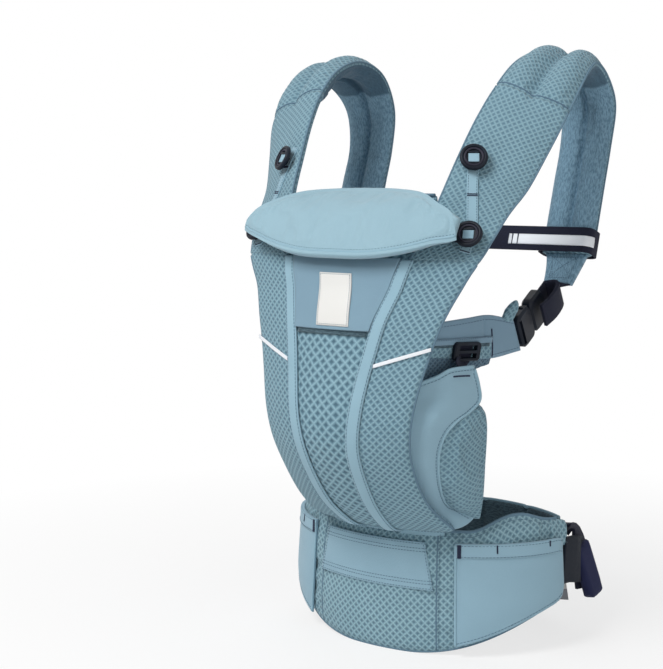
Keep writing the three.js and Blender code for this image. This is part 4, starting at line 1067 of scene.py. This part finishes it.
# %% Seam band where the panel is sewn on the belt
foot_parts = [seam(mirrored(flank), "first", 0, 0.78, 0.0, 40), seam(center, "first", 0, 0, 1, 50),
              seam(flank, "first", 0, 0.0, 0.78, 40)]
foot_points, foot_normals = [np.concatenate(rows) for rows in zip(*foot_parts)]
foot = (foot_points + np.array([0, -0.6, -3.2]) * MM, unit(foot_normals * np.array([1, 1, 0.3])))
band = strip(evened(foot, 3 * MM), 8 * MM, 0.9 * MM, 7, 0.3 * MM, 1.5 * MM)
cloth_piece("panel_foot_band", band, TAPE)
for side in ("low", "high"):
    blue_sewing.run(seam(band, side, 1.3 * MM, 0.005, 0.995, 150, 0.1 * MM), 3.0 * MM, 2.2 * MM)
print("seam band is", round(band.size()[1] / MM), "mm long")

# %% Binding tapes and reflective stripes
tape = cloth_over("binding_tape_right", (0, 1, -1), 2, RIGHT, FRONT, 140, 13, 0.4)
edge_share = np.clip(tape.side_rim / (2.6 * MM), 0, 1)
tape = tape.lifted(0.9 * MM * np.sin(np.pi / 2 * edge_share) - 0.5 * MM)
paired_piece("seam_tape", "binding_tape", tape, TAPE)
for side in ("low", "high"):
    blue_sewing.run(seam(tape, side, 1.5 * MM, 0.003, 0.997, 200, 0.1 * MM), both_sides=True)
stripe = cloth_over("reflective_stripe_right", LEFT, 1, UP, FRONT, 40, 7).lifted(0.2 * MM)
paired_piece("stripe_piping", "reflective_stripe", stripe, REFLECTIVE)

# %% [markdown]
# Under the head support a smooth bib covers the mesh. Its lower edge hangs a little off the panel,
# and a dark strip below it is painted shade in the gap under that edge. A white satin label is
# sewn on it, a little askew, and its face stays blank.
# %% Bib
bib = cloth_over("bib_panel", DOWN, 6, RIGHT, FRONT, 70, 70)
bib_fall = np.clip(1 - bib.along / (22 * MM), 0, 1) ** 2
bib = bib.lifted(1.3 * MM * bib_fall + 0.3 * MM * np.sin(bib.across * 70 + bib.along * 40), 0)
bib_piece = cloth_piece("bib_cloth", bib, BIB_PAINTED_SHADE, replaces=["bib_panel"])
wide, long = bib.size()
edge, edge_normals = seam(bib, "first", 0, 0.04, 0.96, 60)
# A dark strip laid on the panel under the bib's lower edge is painted shade in the gap there.
bib_gap_shade_line = laid((edge + np.array([0, 0, -1.4]) * MM, edge_normals), center)
cloth_piece("bib_edge_painted_shade", strip(bib_gap_shade_line, 6 * MM, 1.4 * MM), PAINTED_SHADE_LINING)

# %% Its blank label
label = cloth_over("label_tab", DOWN, 3, RIGHT, FRONT, 40, 30)
label = label.lifted(0.5 * MM * np.clip(label.rim / (3 * MM), 0, 1) + 0.6 * MM)
level = label.along / label.along.max() - 0.5
lean = (label.middle[:, :1] - label.middle[:, -1:]) * np.array([1, 1, 0])
lean = lean * np.sign(lean[..., :1]) * (label.across / 30 / MM * 0.07 - level * 0.2)[..., None]
label = label.shifted(lean)
cloth_piece("blank_label", label, LABEL, replaces=["label_tab"])
for side in ("low", "high", "first", "last"):
    blue_sewing.run(seam(label, side, 1.4 * MM, 0.05, 0.95, lift=0.1 * MM), 2.2 * MM, 1.5 * MM,
                    thick=0.26 * MM)

# %% [markdown]
# A shoulder strap has two parts. The front leg is a flat padded mesh band with bound edges. The
# part over the shoulder and down the back is thicker: two soft channels with a sewn groove
# between them, mesh outside and jersey inside, so it is filled by the cloth simulation.
# %% Shoulder straps
shoulder = cloth_over("strap_pad_right", (0, -0.3, -1), 10, RIGHT, UP, 200, 40, 0.3)
groove = bell(shoulder.across, 3.0 * MM)
shoulder = rolled(shoulder.lifted(-1.2 * MM, -1.2 * MM), 9 * MM, 3 * MM, shoulder.side_rim)
shoulder = shoulder.lifted(-1.8 * MM * groove, -1.8 * MM * groove)
leg, shoulder = joined(leg, -1, shoulder, -1, 5 * MM)
shoulder_sewn = (shoulder.side_rim < 3 * MM) | (groove > 0.5) | (shoulder.rim < 3 * MM)
paired_piece("strap_leg", "strap_front", leg, STRAP_MESH, LINING)
for edge in ("low", "high"):
    line = seam(leg, edge, 0, 0.005, 0.995, 100)
    paired_tube(f"strap_leg_binding_{edge}", line, 2 * MM, 2 * MM, EDGE)
paired_piece("strap_channels", "strap_pad", shoulder, STRAP_MESH, STRAP_LINING,
             shoulder_sewn, 2.2 * MM)
for edge in ("low", "high"):
    line = seam(shoulder, edge, 0, 0.004, 0.996, 160)
    paired_tube(f"strap_pad_binding_{edge}", line, 2.2 * MM, 2.2 * MM, EDGE)
blue_sewing.run(shoulder.line((0.02, 0.5), (0.985, 0.5), 150, -0.2 * MM), both_sides=True)
cross_seam = shoulder.line((0.993, 0.03), (0.993, 0.97), 40, 0.1 * MM)
paired_tube("strap_cross_seam", cross_seam, 1.4 * MM, 1.2 * MM, THREAD)
print("strap's groove is", round(shoulder.size()[1] / MM), "mm long")

# %% [markdown]
# The tab at the strap's lower end carries the webbing. Its load path is the boxed cross of
# stitches that every harness maker uses, sewn through, so that it shows on both faces.
# %% End tab with its boxed cross
tab = cloth_over("strap_end_tab_right", (0, -0.5, -1), 6, RIGHT, BACK, 24, 30, 0.3)
paired_piece("end_tab_cloth", "strap_end_tab", tab, LINING)
box = [(0.12, 0.2), (0.12, 0.8), (0.8, 0.8), (0.8, 0.2)]
for face in (tab, Cloth(tab.back, tab.front)):
    for start, end in (*zip(box, box[1:] + box[:1]), (box[0], box[2]), (box[1], box[3])):
        blue_sewing.run(face.line(start, end, 20, 0.1 * MM), 2.4 * MM, 1.8 * MM, both_sides=True)

# %% [markdown]
# Each front leg carries a twill tape with two ring buttons. A button is a black disc with a
# raised rim and a grey ring in its dish. Its square window shows the pale tape, and a black bar
# crosses the window's upper end. Round parts are spun from their profile, as on a lathe.
# %% Tape under the buttons
button_tape = cloth_over("button_tape_right", DOWN, 2, RIGHT, FRONT, 60, 11)
button_tape = strip(laid(button_tape.line((0, 0.5), (0.97, 0.5), 40), leg), 10 * MM, 1.1 * MM, 11)
paired_piece("button_tape_cloth", "button_tape", button_tape, TAPE)
for side in ("low", "high"):
    blue_sewing.run(seam(button_tape, side, 1.3 * MM, 0.01, 0.99, 70), 2.6 * MM,
                    2.0 * MM, both_sides=True, thick=0.32 * MM)
for share in (0.53, 0.545, 0.79, 0.8, 0.01):
    for _, line in both(button_tape.line((share, 0.06), (share, 0.94), 12)):
        navy_sewing.tack(line, 1.2 * MM)

# %% Round and boxed solids
def added(name, mesh):
    """A new object with the mesh, active and selected alone."""
    piece = bpy.data.objects.new(name, mesh)
    bpy.context.scene.collection.objects.link(piece)
    bpy.ops.object.select_all(action="DESELECT")
    bpy.context.view_layer.objects.active = piece
    piece.select_set(True)
    return piece


def finished(piece, material, angle=40):
    """Leaves edit mode and gives the piece its material and smooth shading."""
    bpy.ops.object.mode_set(mode="OBJECT")
    piece.data.materials.append(material)
    bpy.ops.object.shade_smooth_by_angle(angle=math.radians(angle))
    piece.select_set(False)
    return piece


def lathe(name, profile, material):
    """Spins a profile of (radius, height) in millimetres once round the upright axis."""
    mesh = bpy.data.meshes.new(name)
    points = [(radius * MM, 0, height * MM) for radius, height in profile]
    mesh.from_pydata(points, [(i, i + 1) for i in range(len(points) - 1)], [])
    piece = added(name, mesh)
    bpy.ops.object.mode_set(mode="EDIT")
    bpy.ops.mesh.select_all(action="SELECT")
    bpy.ops.mesh.spin(steps=48, angle=2 * math.pi, center=(0, 0, 0), axis=UP)
    bpy.ops.mesh.select_all(action="SELECT")
    bpy.ops.mesh.remove_doubles(threshold=0.01 * MM)
    bpy.ops.mesh.normals_make_consistent(inside=False)
    return finished(piece, material)


def beveled_box(name, size, place, width, material):
    """A box with its edges bevelled, all in millimetres, modelled round the origin at a place."""
    bpy.ops.object.select_all(action="DESELECT")
    bpy.ops.mesh.primitive_cube_add(size=1, location=[side * MM for side in place],
                                    scale=[side * MM for side in size])
    piece = bpy.context.object
    piece.name = piece.data.name = name
    bpy.ops.object.transform_apply(location=True, rotation=True, scale=True)
    bpy.ops.object.mode_set(mode="EDIT")
    bpy.ops.mesh.select_all(action="SELECT")
    bpy.ops.mesh.bevel(offset=width * MM, segments=3, affect="EDGES")
    return finished(piece, material)


print("lathe and boxes ready")

# %% Ring buttons
BUTTON_RIM = [
    (0, 0), (5, 0), (5, 3.2), (11.4, 3.2), (12.3, 3.9), (12.5, 5.2), (12.2, 6.6), (11.4, 7.3),
    (10.4, 7.5), (9.6, 7.2), (9.1, 6.2), (8.8, 6.0), (8.0, 6.3), (7.4, 6.1), (7.0, 5.2), (0, 5.0),
]
BUTTON_RING = [(8.9, 6.0), (8.9, 6.5), (8.4, 6.8), (7.7, 6.8), (7.2, 6.4), (7.2, 5.6), (8.9, 5.6),
               (8.9, 6.0)]


def button_axes(node):
    """A button's seat and its axes: across, along and out of the strap."""
    points, _ = welded(node)
    centre = points.mean(0)
    axis = np.linalg.svd(points - centre, full_matrices=False)[2][2]
    axis = axis * (1 if axis @ np.array(FRONT) > 0 else -1)
    seat = centre + axis * ((points - centre) @ axis).min()
    up = unit(np.array(UP) - axis * axis[2])
    return seat, np.stack([np.cross(up, axis), up, axis])


for level in ("upper", "lower"):
    for side in ("right", "left"):
        node = f"ring_button_{level}_{side}"
        seat, axes = button_axes(node)
        end = f"{level}_{side}"
        pieces = [
            lathe(f"button_disc_{end}", BUTTON_RIM, PLASTIC),
            lathe(f"button_ring_{end}", BUTTON_RING, RING_GREY),
            beveled_box(f"button_window_{end}", (9.6, 8.4, 1.2), (0, -0.4, 5.4), 0.5, SMOOTH),
            beveled_box(f"button_bar_{end}", (9.8, 2.0, 1.8), (0, 4.3, 5.9), 0.6, PLASTIC),
        ]
        for piece in pieces:
            points = np.array([vertex.co[:] for vertex in piece.data.vertices]) @ axes + seat
            piece.data.vertices.foreach_set("co", points.ravel())
            piece.data.update()
            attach(piece, "carrier")
        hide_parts(node)
        print(node, "sits at", [round(float(c) / MM) for c in seat], "mm")

# %% [markdown]
# The head support is a soft pillow of smooth fabric. Its tips are made taller than its solid's,
# the right one more than the left, and the cloth simulation fills it. A piping and a row of
# stitches run along its lower edge. It folds, so all of it rides on a body of its own.
# %% Head support
PILLOW_COLUMNS = 60
LEFT_TIP_SHARE = 0.3
pillow = cloth_over("head_support", LEFT, 8, UP, FRONT, 130, PILLOW_COLUMNS, 0.5, 0.2)
pillow = pillow.lifted(-1.5 * MM, -1.0 * MM)
run = pillow.along / pillow.along.max(0)
to_tip = np.minimum(run, 1 - run) * pillow.along.max()
full = 7 * MM * bell(to_tip, 16 * MM) * np.linspace(-0.6, 1, PILLOW_COLUMNS)[None, :]
full = full * np.where(run < 0.5, LEFT_TIP_SHARE, 1.0)
pillow = pillow.shifted(unit(np.gradient(pillow.middle, axis=1)) * full[..., None])
pillow_rim = np.minimum(pillow.side_rim + 3 * MM, to_tip * 3 + 2 * MM)
pillow = rolled(pillow, 16 * MM, 6 * MM, pillow_rim)
folds = (np.sin(pillow.along * 42 + pillow.across * 25) * 0.5
         + np.sin(pillow.along * 95 - pillow.across * 40 + 1.3) * 0.25)
pillow = pillow.lifted(folds * MM * np.clip(pillow.rim / (14 * MM), 0, 1))
pillow_piece = cloth_piece("head_pillow", pillow, PILLOW, PILLOW, "head_support",
                           ["head_support"])
inflate(pillow_piece, (pillow.rim < 2.5 * MM) | (pillow.side_rim < 7.5 * MM), 3.0 * MM)
tube("pillow_piping", seam(pillow, "low", 4 * MM, 0.005, 0.995, 160, -0.5 * MM), 2.4 * MM,
     2.2 * MM, TAPE, "head_support")
pillow_sewing = Sewing("pillow_stitches", THREAD, "head_support")
pillow_sewing.run(seam(pillow, "low", 5.8 * MM, 0.02, 0.98, 160), 3.0 * MM, 2.0 * MM,
                  thick=0.26 * MM)
pillow_sewing.finish()

# %% [markdown]
# The side wing is a smooth tab from the panel's back to the side buckle. Its twill is darker than
# the smooth twill as painted shade from the strap above it. It has a row of stitches along both
# long edges and one upright crease, and the seat-width slider runs on it.
# %% Side wings
WING_ROWS, WING_COLUMNS = 90, 44
wing = cloth_over("side_wing_right", FRONT, 4, UP, RIGHT, WING_ROWS, WING_COLUMNS, 0.4)
wing = rolled(wing, 5 * MM, 2 * MM, wing.side_rim)
crease = bell(wing.along - 0.62 * wing.along.max(), 1.6 * MM)
wing = wing.lifted(-0.9 * MM * crease + 0.4 * MM * np.sin(wing.along * 60 + wing.across * 50))
paired_piece("wing_cloth", "side_wing", wing, WING_PAINTED_SHADE, LINING)
for side in ("low", "high"):
    blue_sewing.run(seam(wing, side, 4 * MM, 0.03, 0.97, lift=0.1 * MM), both_sides=True)

# %% [markdown]
# The thigh cover is smooth and nearly flat, edged with a piping along its outer edge and its top.
# The bolster behind it is a filled roll of mesh, which leans out where the cover ends and tucks
# in again at its top.
# %% Thigh covers
COVER_COLUMNS = 50
cover = cloth_over("thigh_cover_right", (-0.6, 0, -1), 6, (1, 1, 0), RIGHT, 110, COVER_COLUMNS, 0.4,
                   0.1)
cover = rolled(cover, 5 * MM, 2.4 * MM)
cover = cover.lifted(0.5 * MM * np.sin(cover.along * 40 + cover.across * 30)
                     * np.clip(cover.rim / (12 * MM), 0, 1))
share = np.linspace(0, 1, COVER_COLUMNS)
droop = np.stack([-4 * (1 - share), 7 * (1 - share), -15 * np.sin(np.pi * (0.2 + 0.8 * share))], -1)
cover = cover.shifted(droop[None] * bell(cover.along, 28 * MM)[..., None] * MM)
paired_piece("thigh_cover_cloth", "thigh_cover", cover, SMOOTH, LINING)
for edge in ("high", "last"):
    line = seam(cover, edge, 0.4 * MM, 0.01, 0.99, 110)
    paired_tube(f"thigh_piping_{edge}", line, 2.8 * MM, 2.8 * MM, TAPE)
    blue_sewing.run(seam(cover, edge, 3.4 * MM, 0.03, 0.97, 110, 0.1 * MM), both_sides=True)

# %% Thigh bolsters
bolster = cloth_over("thigh_bolster_right", DOWN, 6, (1, 1, 0), RIGHT, 100, 44, 0.5, 0.2)
bolster = rolled(bolster.lifted(-0.5 * MM, -0.5 * MM), 10 * MM, 3 * MM)
dome = np.sin(np.pi * np.clip(bolster.along / bolster.along.max(), 0, 1)) ** 0.6
over = bolster.across - bolster.across.min(1, keepdims=True)
over = over / np.ptp(bolster.across, axis=1)[:, None]
bolster = bolster.lifted(3.0 * MM * dome * np.sin(np.pi * over) ** 0.7)
outward = np.array([0.75, 0.66, 0]) * MM * 4
tuck = bell(bolster.along.max() - bolster.along, 14 * MM)
bolster = bolster.shifted((dome * over - 1.1 * tuck - 0.9 * dome * (1 - over) ** 2)[..., None]
                          * outward)
paired_piece("thigh_roll", "thigh_bolster", bolster, STRAP_MESH, LINING,
             bolster.rim < 3 * MM, 2.5 * MM)

# %% [markdown]
# The wing's outer layer is folded back along its lower half. It shows a hem with a dark strip
# under it that is painted shade, a bar tack where the slit ends, and the mesh of the inner layer,
# which hangs down below the wing. A small end of the inner mesh stands up over the wing's rear end.
# %% Slit of the wing
SLIT, HEM = 0.66, 0.47
layer = patch(wing, slice(2, int(SLIT * WING_ROWS)), slice(1, int(HEM * WING_COLUMNS)), 0.5 * MM)
slit_line, way = wing.line((0.02, 0.1), (SLIT, 0.1), 50)
fall = np.linspace(24, 9, 50)[:, None] * MM * np.array([[0, 0.25, -1]]) - way * 5 * MM
drape = slit_line[:, None] + fall[:, None] * np.linspace(0, 1, 16)[None, :, None]
drape = Cloth(drape + way[:, None] * 0.3 * MM, drape - way[:, None] * 0.9 * MM)
nub_line, nub_way = wing.line((0.85, 0.97), (0.995, 0.97), 24, -1 * MM)
nub_out = unit(nub_line[-1] - nub_line[0]) * 0.55 + np.array(UP)
nub_high = 19 * MM * np.sin(np.linspace(0.25, np.pi - 0.35, 24)) ** 0.6
nub = nub_line[:, None] + (nub_high[:, None] * np.linspace(-0.15, 1, 16))[..., None] * nub_out
nub = rolled(Cloth(nub + nub_way[:, None] * 3 * MM, nub - nub_way[:, None] * 3 * MM), 6 * MM)
hem_line = wing.line((0.02, HEM), (SLIT, HEM), 50, 0.3 * MM)
shade_line = wing.line((0.04, HEM - 0.085), (SLIT - 0.03, HEM - 0.085), 50, 0.4 * MM)
tack_line = wing.line((SLIT + 0.01, 0.08), (SLIT + 0.01, 0.66), 46, 0.2 * MM)
for side in ("right", "left"):
    for name, cloth, material in (("inner_layer", layer, STRAP_MESH),
                                  ("inner_drape", drape, INNER_MESH), ("end_nub", nub, STRAP_MESH)):
        cloth_piece(f"wing_{name}_{side}", on_side(cloth, side), material)
    hem_cloth = strip(on_side(hem_line, side), 5.4 * MM, 1.5 * MM)
    cloth_piece(f"wing_hem_{side}", hem_cloth, WING_PAINTED_SHADE)
    # A dark strip under the hem is painted shade.
    shade_cloth = strip(on_side(shade_line, side), 4 * MM, 0.5 * MM, 5)
    cloth_piece(f"wing_hem_painted_shade_{side}", shade_cloth, PAINTED_SHADE_LINING)
    navy_sewing.tack(on_side(tack_line, side), 1.5 * MM)
hem_stitches = wing.line((0.03, HEM + 0.045), (SLIT, HEM + 0.045), 50, 1.9 * MM)
blue_sewing.run(hem_stitches, 2.6 * MM, 2.0 * MM, True)
print("slit is", round(SLIT * wing.size()[1] / MM), "mm long")

# %% [markdown]
# The slider's webbing comes out from under the hem and goes down into a slot at the cover's top.
# It moves with the slider, so it rides on the slider's body.
# %% The slider's webbing
slider_box = [np.array(corner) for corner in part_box("seat_slider_right")]
wing_line = wing.front[:, WING_COLUMNS // 2]
slider_row = np.linalg.norm(wing_line - sum(slider_box) / 2, axis=1).argmin() / (WING_ROWS - 1)
points, normals = wing.line((slider_row, HEM - 0.02), (slider_row, 0.04), 14, 0.4 * MM)
slot_place = cover.front[-1, -1] * 0.45 + cover.front[-1, COVER_COLUMNS // 2] * 0.55
drop = np.array([points[-1] + (slot_place - points[-1]) * share for share in (0.35, 0.7, 1.0)])
slider_line = (np.concatenate([points, drop]), np.concatenate([normals, normals[[-1] * 3]]))
for side, line in both(slider_line):
    cloth_piece(f"slider_webbing_{side}", strip(line, 17 * MM, 0.9 * MM), WEBBING,
                body=f"seat_slider_{side}")
print("slider's webbing leaves the wing", round(float(slider_row), 2), "of the way along it")

# %% [markdown]
# Webbing keeps the shape that its solid has, so a copy of the node is merged, its edges are
# bevelled and its weave is laid along it: one axis runs across the band and the other adds up
# the two directions in which the band runs.
# %% Straps and loops of webbing
def woven(node, name, across, along, material, body="carrier", bevel=0.45 * MM):
    """A bevelled copy of a node, with its weave laid along two directions."""
    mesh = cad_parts[node].data.copy()
    mesh.name = name
    piece = added(name, mesh)
    bpy.ops.object.mode_set(mode="EDIT")
    bpy.ops.mesh.select_all(action="SELECT")
    bpy.ops.mesh.remove_doubles(threshold=0.02 * MM)
    bpy.ops.object.mode_set(mode="OBJECT")
    bpy.ops.object.modifier_add(type="BEVEL")
    piece.modifiers[-1].width = bevel
    piece.modifiers[-1].segments = 2
    piece.modifiers[-1].angle_limit = math.radians(50)
    bpy.ops.object.modifier_apply(modifier=piece.modifiers[-1].name)
    mesh = piece.data
    while mesh.uv_layers:
        mesh.uv_layers.remove(mesh.uv_layers[0])
    layer = mesh.uv_layers.new(name="cloth")
    points = np.array([vertex.co[:] for vertex in mesh.vertices])
    corners = np.array([loop.vertex_index for loop in mesh.loops])
    place = np.stack([points @ np.array(across), points @ np.array(along)], -1)
    layer.data.foreach_set("uv", place[corners].astype(np.float32).ravel())
    mesh.materials.clear()
    finished(piece, material, 38)
    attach(piece, body)
    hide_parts(node)


low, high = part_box("side_buckle_female_right")
male_low, male_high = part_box("side_buckle_male_right")
side_way = unit((np.array(male_low) + male_high - low - high) / 2)
side_over = unit(np.cross(RIGHT, side_way))
for side, sign in (("right", 1), ("left", -1)):
    woven(f"strap_webbing_{side}", f"strap_webbing_band_{side}", side_over,
          side_way + np.array([sign, 0, 0]), WEBBING)
    woven(f"elastic_loop_{side}", f"elastic_loop_band_{side}", UP, RIGHT, ELASTIC, bevel=0.3 * MM)
    woven(f"cross_strap_{side}", f"cross_strap_band_{side}", (0, -0.354, 0.935),
          (1, 0.935, 0.354), WEBBING, "cross_strap")
for side, sign in (("right", 1), ("left", -1)):
    woven(f"waist_webbing_{side}", f"waist_webbing_band_{side}", UP, (-0.3 * sign, 1.0, 0), WEBBING)
print("webbing woven on the side straps, elastic loops, cross strap and waist")

# %% [markdown]
# A reflective strip runs along each half of the cross strap and round the bend at its end. Its
# line is found by rays from outside that meet the strap: from its front at even steps, and then
# from round the bend. Laying it by its nearest point would cut the corner.
# %% Reflective strip and tacks on the cross strap
STRIP_START, BEND_RADIUS, RAY_START = 66 * MM, 8 * MM, 30 * MM
strap_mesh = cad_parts["cross_strap_right"].data
strap_points = np.array([vertex.co[:] for vertex in strap_mesh.vertices])
strap_tree = BVHTree.FromPolygons(strap_points.tolist(),
                                  [tuple(face.vertices) for face in strap_mesh.polygons])
band_end = strap_points[strap_points[:, 0] < strap_points[:, 0].min() + 0.5 * MM]
band_up = unit(band_end[band_end[:, 2].argmax()] - band_end[band_end[:, 2].argmin()])
band_out = np.cross(RIGHT, band_up) * -1
band_out = band_out * (1 if band_out[1] < 0 else -1)
bend = strap_points[:, 0].max() - 9 * MM
rays = []
for x in np.linspace(STRIP_START, bend, 40):
    rays.append((np.array([x, *band_end.mean(0)[1:]]) + band_out * RAY_START, -band_out))
for turn in np.radians(np.arange(10, 91, 10)):
    way = band_out * math.cos(turn) + np.array(RIGHT) * math.sin(turn)
    centre = np.array([bend, *band_end.mean(0)[1:]]) - band_out * BEND_RADIUS
    rays.append((centre + way * RAY_START, -way))
hits = [strap_tree.ray_cast(Vector(start), Vector(way)) for start, way in rays]
strip_line = line_of([(hit[0][:], hit[1][:]) for hit in hits if hit[0] is not None])
for side, line in both(strip_line):
    cloth_piece(f"cross_reflective_strip_{side}", strip(line, 10 * MM, 0.5 * MM, 9, 0.2 * MM),
                REFLECTIVE, body="cross_strap")
cross_sewing = Sewing("cross_strap_tacks", DARK_THREAD, "cross_strap")
for row in (2, 5):
    place = strip_line[0][row] + band_out * 0.8 * MM
    ends = np.array([place + band_up * step * MM for step in (-4.8, 0, 4.8)])
    for _, line in both((ends, np.array([band_out] * 3))):
        cross_sewing.tack(line, 1.3 * MM)
cross_sewing.finish()

# %% [markdown]
# The spare end of the waist webbing is folded up, and an elastic band on the belt's side holds it.
# The end hangs free, so its places are chosen from the photograph. Both are tapes along
# a line.
# %% The waist tail and its elastic band
TAIL_PLACES = [(126.5, 57, 81.5), (128.3, 58.5, 75), (130.5, 61, 65), (132.7, 64, 54),
               (135, 67, 43), (138, 70, 28)]
ELASTIC_PLACES = [(143, -8, 83), (143, 8, 81), (142.5, 20, 78), (140.5, 30, 75.5),
                  (136.5, 43, 72), (131.5, 55, 68.5), (128.5, 64, 67)]
ELASTIC_NORMALS = [(1, 0.03, 0), (1, 0.05, 0), (1, 0.1, 0), (0.95, 0.3, 0), (0.9, 0.4, 0),
                   (0.9, 0.4, 0), (0.9, 0.4, 0)]
tail_line = evened((np.array(TAIL_PLACES) * MM, np.array([(0.97, -0.1, 0.14)] * 6)), 1.2 * MM)
tail = rolled(strip(tail_line, 27 * MM, 9 * MM, 26, 0, 2 * MM), 6 * MM, 1 * MM)
tail = round_corner(round_corner(tail, True, True, 13 * MM), True, False, 13 * MM)
cloth_piece("waist_tail_fold", tail, NAVY_WEBBING)
elastic = strip((np.array(ELASTIC_PLACES) * MM, np.array(ELASTIC_NORMALS)), 45 * MM, 1.2 * MM, 9)
cloth_piece("waist_tail_elastic", elastic, ELASTIC)
print("tail is", round(tail.size()[1] / MM), "mm long, its elastic", round(elastic.size()[1] / MM))

# %% [markdown]
# The care label is a white satin ribbon, sewn in at its top and twisted by a quarter turn where
# it hangs free. Its face is blank, and its lower tip is grey.
# %% Care label
CARE_ROWS = 40
WHITE_ROWS = int(0.72 * CARE_ROWS)
care = cloth_over("care_label", DOWN, 2, RIGHT, RIGHT, CARE_ROWS, 9)
low = (1 - care.along / care.along.max())[..., None]
turn = np.radians(-90) * low[..., 0] ** 0.6
cos, sin = np.cos(turn), np.sin(turn)
middle = care.middle.mean(1, keepdims=True)


def hung(grid):
    """A face of the label, twisted and hanging a little lower than its solid."""
    x, y, z = np.moveaxis(grid - middle, -1, 0)
    grid = np.stack([x * cos - y * sin, x * sin + y * cos, z], -1) + middle
    return grid + low * np.array([6, 0, -11]) * MM


care = Cloth(hung(care.front), hung(care.back))
first = CARE_ROWS - WHITE_ROWS
white_part = Cloth(care.front[first:], care.back[first:])
tip = Cloth(care.front[:first + 1], care.back[:first + 1])
cloth_piece("care_label_blank", white_part, LABEL, replaces=["care_label"])
cloth_piece("care_label_tip", tip, LABEL_TIP)

# %% [markdown]
# Buckles, sliders and prongs are right as they are in the frame, and only get their finish. The
# last tacks close the slots of the thigh covers, and then all stitches are made.
# %% Moulded pieces and the last stitches
moulded_nodes = [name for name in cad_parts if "buckle" in name or "slider" in name]
for name in moulded_nodes:
    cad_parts[name].data.materials.clear()
    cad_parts[name].data.materials.append(PLASTIC)
for _, line in both(cover.line((0.965, 0.64), (0.965, 0.86), 24, 0.2 * MM)):
    navy_sewing.tack(line, 1.6 * MM)
blue_sewing.finish()
navy_sewing.finish()
print(len(moulded_nodes), "moulded pieces finished")

# %% [markdown]
# The studio is a white sweep: a pale floor that keeps a soft shadow, a world that the camera sees
# as white, one large soft lamp in front on the left, a weaker one on the right and one behind.
# World and floor look brighter to the camera than they are as lamps, so that the ground stays
# white while the carrier keeps its shading.
# %% World
WHITE = (1, 1, 1, 1)


def seen_directly(nodes):
    """1 for rays that come from the camera, a mirror or a glass, and 0 for light."""
    camera_ray, mirror_ray, glass_ray = [
        nodes.node("ShaderNodeLightPath", output=f"Is {kind} Ray")
        for kind in ("Camera", "Glossy", "Transmission")
    ]
    return camera_ray.reckon("MAXIMUM", mirror_ray).reckon("MAXIMUM", glass_ray)


def shade_by_ray(nodes, share, as_light, as_seen, end):
    """Sends one shader or the other to the end node, by the share."""
    chosen = nodes.node("ShaderNodeMixShader", {}, {0: share, 1: as_light, 2: as_seen})
    nodes.tree.links.new(chosen.socket, nodes.tree.nodes[end].inputs[0])


world = bpy.data.worlds.new("studio")
bpy.context.scene.world = world
world.use_nodes = True
sky = Nodes(world.node_tree)
dim = sky.tree.nodes["Background"]
dim.inputs["Color"].default_value = WHITE
dim.inputs["Strength"].default_value = 0.3
bright = sky.node("ShaderNodeBackground", {}, {"Color": WHITE, "Strength": 1.0})
shade_by_ray(sky, seen_directly(sky), Value(sky, dim.outputs[0]), bright, "World Output")
print("world is white to the camera")

# %% Floor
bpy.ops.mesh.primitive_circle_add(vertices=96, radius=6, fill_type="NGON",
                                  location=(0, 0, -0.5 * MM))
floor = bpy.context.object
floor.name = "floor"
paper = Finish("white_paper", Base_Color=(0.93, 0.93, 0.93, 1), Roughness=0.9)
distance = paper.node("ShaderNodeVectorMath", {"operation": "LENGTH"}, {0: paper.object_place()},
                      "Value")
fade = paper.node("ShaderNodeMapRange", {}, {
    "Value": distance, "From Min": 0.25, "From Max": 0.8, "To Min": 0.7, "To Max": 1.0,
})
glow = paper.node("ShaderNodeEmission", {}, {"Strength": 1.0})
shade_by_ray(paper, seen_directly(paper) * fade, Value(paper, paper.surface.outputs[0]), glow,
             "Material Output")
floor.data.materials.append(paper.material)
print("floor laid")

# %% Lamps
LAMPS_AIM = Vector((0, 0, 0.27))
for name, place, size, power in (
    ("key", (-0.25, -1.35, 1.6), 0.8, 24), ("fill", (1.6, -0.7, 0.6), 1.4, 5),
    ("rim", (-0.6, 1.2, 1.5), 1.2, 6),
):
    bpy.ops.object.light_add(type="AREA", location=place)
    lamp = bpy.context.object
    lamp.name = name
    lamp.data.size = size
    lamp.data.energy = power
    lamp.rotation_euler = (LAMPS_AIM - Vector(place)).to_track_quat("-Z", "Y").to_euler()
bpy.context.scene.view_settings.view_transform = "Standard"
print("studio ready")
